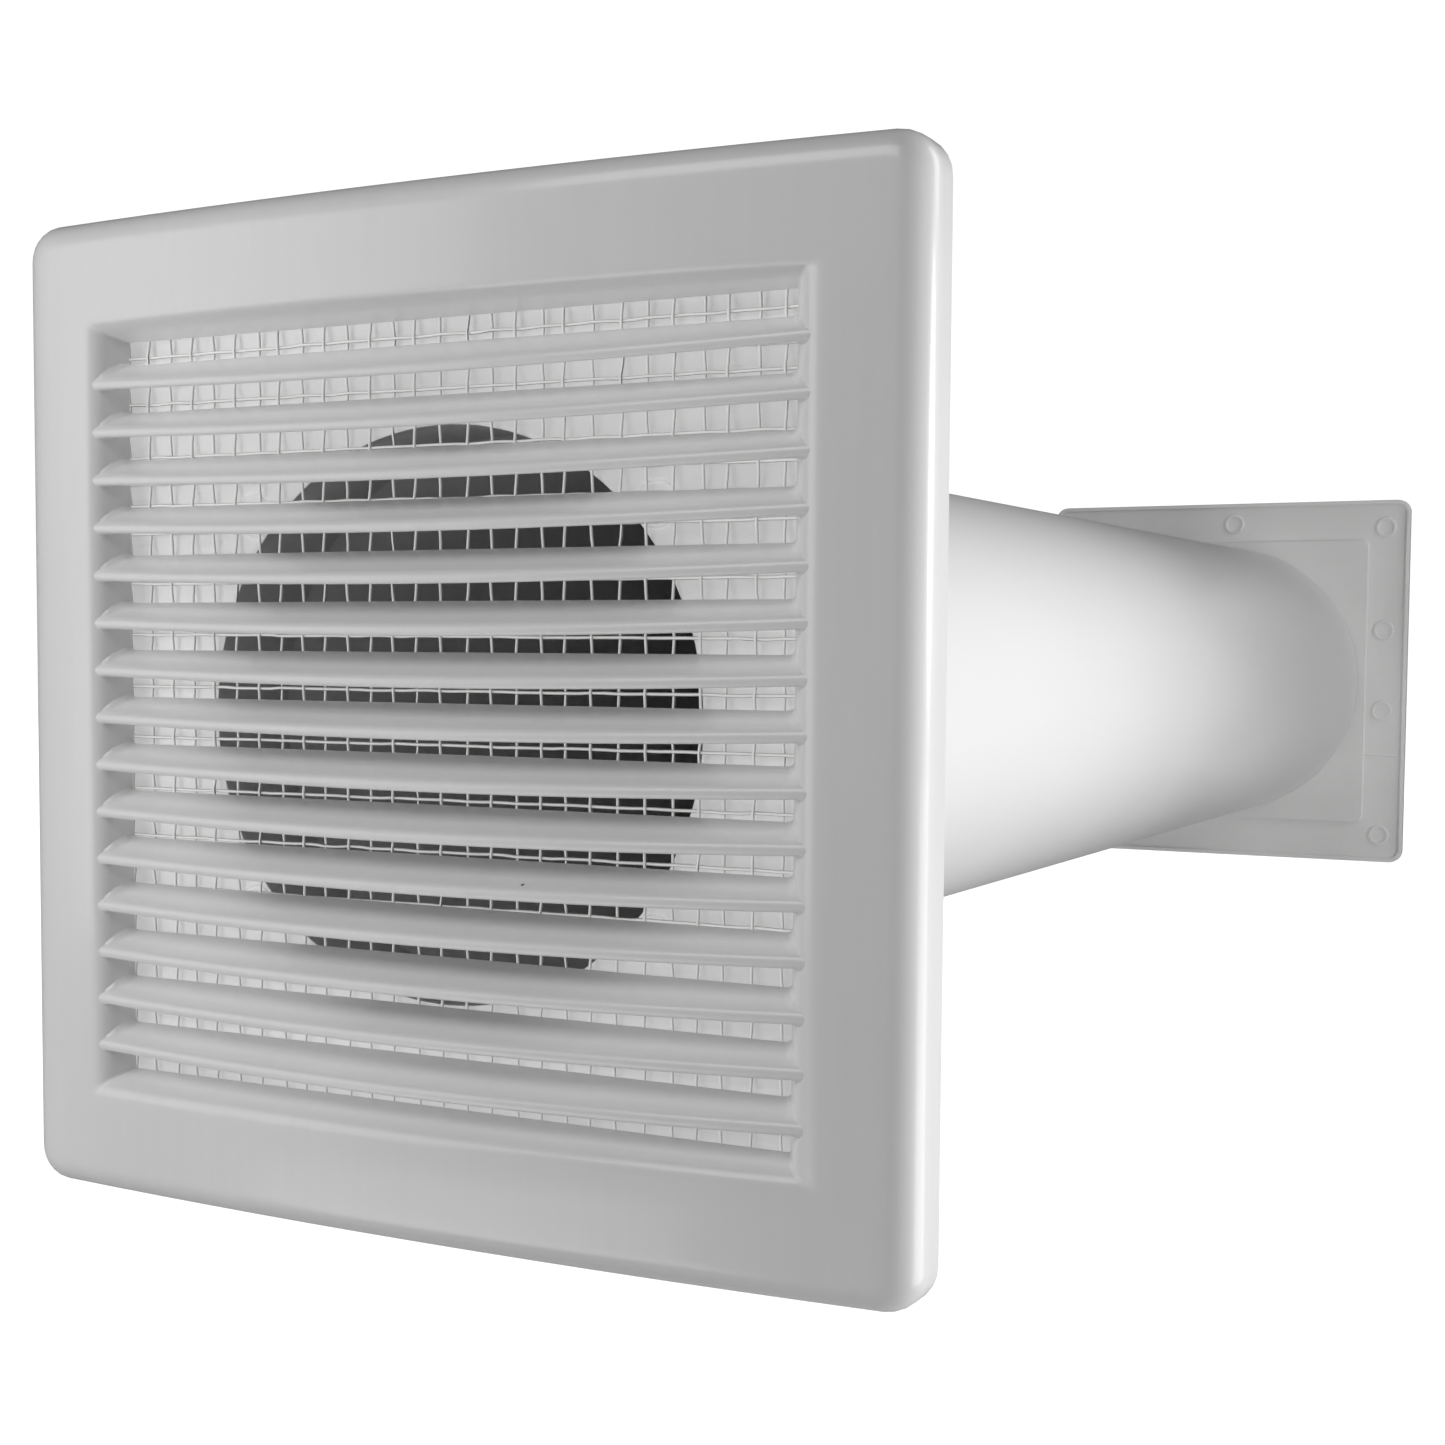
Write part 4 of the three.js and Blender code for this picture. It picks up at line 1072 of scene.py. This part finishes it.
def make_coil(number):
    """One winding round a pole's neck: three layers of enamelled wire."""
    bm = bmesh.new()
    middle = WALL - 58
    for layer in range(3):
        grow = 0.5 + 0.9 * layer
        for k in range(6):
            radial = 17.2 + 0.8 * k + (0.05 if layer % 2 else 0)
            loop = []
            for x, _, z in square_ring(4.4 + grow, 7.8 + grow, -7.8 - grow, 1.0 + grow, 0, 3, 5):
                loop.append((radial, middle + z, x))
            loop = turned_about_y(loop, 90 * number)
            rings = []
            count = len(loop)
            out = Vector((polar(1, 90 * number)[0], 0, polar(1, 90 * number)[1]))
            for i in range(count):
                ahead = (Vector(loop[(i + 1) % count]) - Vector(loop[i - 1])).normalized()
                side = ahead.cross(out)
                rings.append(tube_ring(Vector(loop[i]), out, side, 0.41, 6))
            add_rings(bm, rings, closed=True)
    winding = finish_mesh("winding_%d" % (number + 1), bm, 60)
    dress(winding, "root", "copper_enamel", "stator_coil_%d" % (number + 1))


def make_screw(kind, number, size, place, spin, metal="steel", cross=True):
    """A pan-head screw along Y, its head towards the bathroom."""
    head_r, head, shank_r, length = size
    bm = bmesh.new()
    profile = [(0, -length), (shank_r * 0.5, -length)]
    turns = max(2, int(length / 0.9))
    for k in range(turns):
        y = -length + 0.3 + (length - 0.6) * k / turns
        profile += [(shank_r * 0.78, y), (shank_r, y + (length - 0.6) / turns * 0.5)]
    profile += [(shank_r * 0.8, -0.2), (shank_r * 0.8, 0), (head_r * 0.97, 0)]
    for k in range(7):
        u, v = polar(1, 90 * k / 6)
        profile.append((head_r * (0.45 + 0.55 * u), head * (0.25 + 0.75 * v)))
    profile.append((0, head))
    solid_lathe(bm, profile, 28, (place[0], place[2]), place[1])
    piece = finish_mesh("%s_fixing_%d" % (kind, number), bm, 34)
    wing = head_r * (0.55 if cross else 0.99)
    depth = head * 0.45
    tools = []
    for angle in ((spin, spin + 90) if cross else (spin,)):
        def groove(bm, angle=angle):
            rings = []
            for y in (place[1] + depth, place[1] + head + 1):
                ring = turned_about_y(square_ring(wing, 0.3, -0.3, 0.05, y, 2, 2), angle)
                rings.append([(px + place[0], py, pz + place[2]) for px, py, pz in ring])
            add_rings(bm, rings, capped=True)
        tools.append(cutter(groove))
    pierce(piece, tools)
    dress(piece, "root", metal, "%s_screw_%d" % (kind, number))


def blade_section(r):
    """One impeller blade's closed section at radius r, with the blade standing along +X."""
    t = max(0.0, (r - 18) / 27)
    pitch = (46 - 20 * t) * PHI
    chord = 24 + 5 * t
    thick = 1.75 - 0.6 * t
    points = []
    for k in range(28):
        a = 2 * math.pi * k / 28
        u, v = math.cos(a) / 2, math.sin(a) / 2
        v *= min(1.0, math.sqrt(max(0.0, 1 - (2 * u) ** 2)) * 0.5 + 0.62)
        camber = 2.1 * (1 - (2 * u) ** 2)
        along, across = u * (chord - 0.4), v * thick + camber
        tangent = along * math.cos(pitch) - across * math.sin(pitch)
        axial = along * math.sin(pitch) + across * math.cos(pitch)
        points.append((r, WALL - 24 + axial, tangent))
    return points


def make_impeller():
    bm = bmesh.new()
    hub = [(16.4, -36), (17.7, -36), (18, -35.7), (18, -15.2), (17.6, -14.2), (16.8, -13.2), (15.8, -12.5),
           (14.6, -12), (2.3, -12), (2.06, -12.3), (2.06, -33.8), (2.3, -34), (4.8, -34), (5, -33.8),
           (5, -14.3), (5.4, -14), (14.6, -14), (15.9, -15.2), (16.4, -16.4), (16.4, -35.7)]
    add_lathe(bm, hub, 84, base=WALL)
    for k in range(6):
        add_bar(bm, 4.8, 16.6, WALL - 31, WALL - 13.5, 0.6, 60 * k + 12, 0.2)
    radii = [17.3, 19, 21.5, 25, 29, 33, 37, 41, 44.2, 44.85]
    for k in range(7):
        rings = []
        for r in radii:
            ring = blade_section(r)
            if r == radii[-1]:
                middle = sum((Vector(p) for p in ring), Vector()) / len(ring)
                ring = [tuple(middle + (Vector(p) - middle) * 0.975) for p in ring]
            if r < 20:
                spread = 1.12 if r < 18 else 1.0
                middle = sum((Vector(p) for p in ring), Vector()) / len(ring)
                ring = [(middle.x, p[1], middle.z + (p[2] - middle.z) * spread) for p in ring]
                ring = [(r, min(max(y, WALL - 35.9), WALL - 12.6), z) for _, y, z in ring]
            rings.append(turned_about_y(ring, 360 * k / 7))
        add_rings(bm, rings, capped=True)
    dress(finish_mesh("axial_impeller", bm, 34), "impeller", "impeller_plastic", "impeller")

    teeth = []
    for k in range(96):
        teeth.append(polar(2.06 if (k // 6) % 2 == 0 else 3.0, 360 * k / 96))
    bm = bmesh.new()
    add_slab(bm, [circle(4.6, 48), teeth], WALL - 11.7, WALL - 10.9, 0.08)
    dress(finish_mesh("push_on_clip", bm, 30), "impeller", "steel", "impeller_clip")


# ---- Wiring ----

def make_wiring():
    bm = bmesh.new()
    add_block(bm, -7, 23, WALL + 3.3, WALL + 14, -66.4, -54.6, 0.5)
    piece = finish_mesh("terminal_body", bm, 34)
    tools = []
    for k in range(3):
        x = -2 + 10 * k
        well = [(0, 8), (2.4, 8), (2.8, 8.5), (2.8, 13.6), (3.2, 15), (0, 15)]
        tools.append(drill(well, 32, (x, -60.5)))
        tools.append(slot(x - 2, x + 2, WALL + 4.8, WALL + 7.8, -68, -53, 0.8))
    for x in (3, 13):
        tools.append(slot(x - 0.6, x + 0.6, WALL + 11, WALL + 16, -68, -53, 0.2))
    pierce(piece, tools, bevel=0.15)
    dress(piece, "root", "inner_plastic", "terminal_block")
    for k in range(3):
        place = (-2 + 10 * k, WALL + 10, -60.5)
        make_screw("terminal", k + 1, (2.3, 1.6, 1.4, 1.8), place, 35 * k + 10, "brass", cross=False)

    profile = [(4.5, 0.2), (8.3, 0.2), (8.6, 1.1), (6.7, 1.1), (6.7, 3.3), (9, 3.3), (8.2, 5.2), (4.5, 5.2)]
    grommet = lathe("cable_bush", profile, 0.35, 48, CABLE, WALL)
    dress(grommet, "root", "rubber", "cable_grommet")

    bm = bmesh.new()
    add_block(bm, -39, -15, WALL + 3.3, WALL + 10, -65.2, -58.8, 0.7)
    clamp = finish_mesh("cord_clamp", bm, 34)
    arch = [slot(-32, -22, WALL, WALL + 7.5, -71, -53, 0.8)]
    for dx in (-8.5, 8.5):
        hole = [(0, -2), (1.8, -2), (1.8, 20), (0, 20)]
        arch.append(drill(hole, 24, (-27 + dx, -62)))
    pierce(clamp, arch, bevel=0.15)
    dress(clamp, "root", "inner_plastic", "cable_clamp")
    for k, dx in enumerate((-8.5, 8.5)):
        make_screw("clamp", k + 1, (2.8, 1.8, 1.4, 6.2), (-27 + dx, WALL + 10.3, -62), 15 + 40 * k)
    make_lead(LEADS["live"], "live", "lead_brown")
    make_lead(LEADS["neutral"], "neutral", "lead_blue")


def blend(p, q, t, start, end):
    """From p at start to q at end."""
    return p * ((end - t) / (end - start)) + q * ((t - start) / (end - start))


def smooth_path(points, steps=7):
    """A centripetal Catmull-Rom curve through the points."""
    pts = [Vector(p) for p in points]
    pts = [pts[0] * 2 - pts[1]] + pts + [pts[-1] * 2 - pts[-2]]
    path = []
    for p0, p1, p2, p3 in zip(pts, pts[1:], pts[2:], pts[3:]):
        t0 = 0.0
        t1 = t0 + (p1 - p0).length ** 0.5
        t2 = t1 + (p2 - p1).length ** 0.5
        t3 = t2 + (p3 - p2).length ** 0.5
        for k in range(steps):
            t = t1 + (t2 - t1) * k / steps
            a1 = blend(p0, p1, t, t0, t1)
            a2 = blend(p1, p2, t, t1, t2)
            a3 = blend(p2, p3, t, t2, t3)
            path.append(blend(blend(a1, a2, t, t0, t2), blend(a2, a3, t, t1, t3), t, t1, t2))
    path.append(pts[-2])
    return path


def make_lead(x, name, slot):
    z = -math.sqrt(LEAD_CIRCLE ** 2 - x ** 2)
    out = math.hypot(x, z)

    def at(r, y):
        return (x / out * r, WALL + y, z / out * r)

    path = smooth_path([
        (x, WALL + 7.5, -54.3), (x, WALL + 7, z - 1.6), at(out, 4), at(out, -1), at(out, -24), at(out, -44),
        at(out - 0.8, -49), at(44, -50.5), at(31.3, -51),
    ])
    side = Vector((1, 0, 0))
    rings = []
    for i, p in enumerate(path):
        ahead = (path[min(i + 1, len(path) - 1)] - path[max(i - 1, 0)]).normalized()
        side = (side - ahead * side.dot(ahead)).normalized()
        other = ahead.cross(side)
        rings.append(tube_ring(p, side, other, 0.88, 12))
    bm = bmesh.new()
    add_rings(bm, rings, capped=True)
    dress(finish_mesh("lead_" + name, bm, 50), "root", slot, "motor_lead_" + name)


# ---- Bathroom cover ----

def make_cover():
    bm = bmesh.new()
    rings = squares((72.1, 6, 3.3), (72.5, 6, 3.7), (71.7, 6, 10), (70.6, 6, 18), (69.6, 6, 25.5),
                    (69.2, 6, 27.6), (68.6, 6, 29.3), (67.6, 6, 30.7), (66.2, 6, 31.6), (64.6, 6, 32),
                    (61, 5, 32.0), (57.4, 5, 32.0), (56.6, 5, 31.8), (56.2, 5, 31.2))
    rings += squares((56.2, 5, 25.6), (58.5, 5, 25.5), (58.8, 5, 29.4), (64.4, 4, 29.4), (66.6, 4, 28),
                     (67.2, 4, 26), (68.6, 4, 16), (70.2, 4, 4.2), (70.5, 4, 3.5), (70.9, 4.5, 3.3))
    # The grid is a slab that fills the opening, less its slanted slots.
    add_rings(bm, moved_rings([sq(56.6, 5, 25.5), sq(56.6, 5, 31.0)], WALL), capped=True)
    piece = finish_mesh("bathroom_cover", bm, 34)
    slots = []
    for k in range(10):
        z = (k - 4.5) * 11

        def slot_tool(bm, z=z):
            shapes = []
            for y, mid, tall in ((24, z + 3.75, 6.5), (33, z - 1.75, 6.5)):
                ring = square_ring(52, tall / 2, -tall / 2, 2.9, y, 6, 6)
                shapes.append([(px, WALL + py, pz + mid) for px, py, pz in ring])
            add_rings(bm, shapes, capped=True)

        slots.append(cutter(slot_tool))
    pierce(piece, slots, bevel=0.5)
    bm = reopened(piece)
    add_rings(bm, moved_rings(rings, WALL), closed=True)
    write_mesh(piece.data, bm, 34)
    dress(piece, "cover", "white_gloss", "room_cover")


make_camera()
make_stage()
make_grille()
make_mesh()
make_flange_plate()
make_pipe()
make_base_plate()
make_damper()
make_motor()
make_impeller()
make_wiring()
make_cover()

spot_light("key_right", (0.50, 0.15, 0.07), (0.05, 0.14, 0.0), 84, 4.4, 0.08)
area_light("key_low", (0.50, 0.10, -0.18), (0, 0.15, 0), 0.3, 1.1, 0.3)
area_light("far_right", (0.55, 0.34, 0.40), (0, 0.45, 0.02), 0.3, 1.2, 0.4)
area_light("graze_right", (0.42, -0.12, 0.05), (-0.05, 0, 0), 0.15, 0.06, 0.3)
area_light("near_left", (-0.26, -0.26, 0.06), (-0.06, 0, 0), 0.2, 0.35, 0.3)
area_light("low_left", (-0.22, -0.36, -0.30), (-0.04, 0, 0), 0.25, 0.40, 0.25)
area_light("front_high", (-0.1, -0.55, 0.55), (0, 0, 0), 0.5, 1.8, 0.4)
area_light("room_side", (0.0, 1.3, 0.12), (0, 0.6, 0), 0.35, 2.5, 0.2).visible_glossy = False
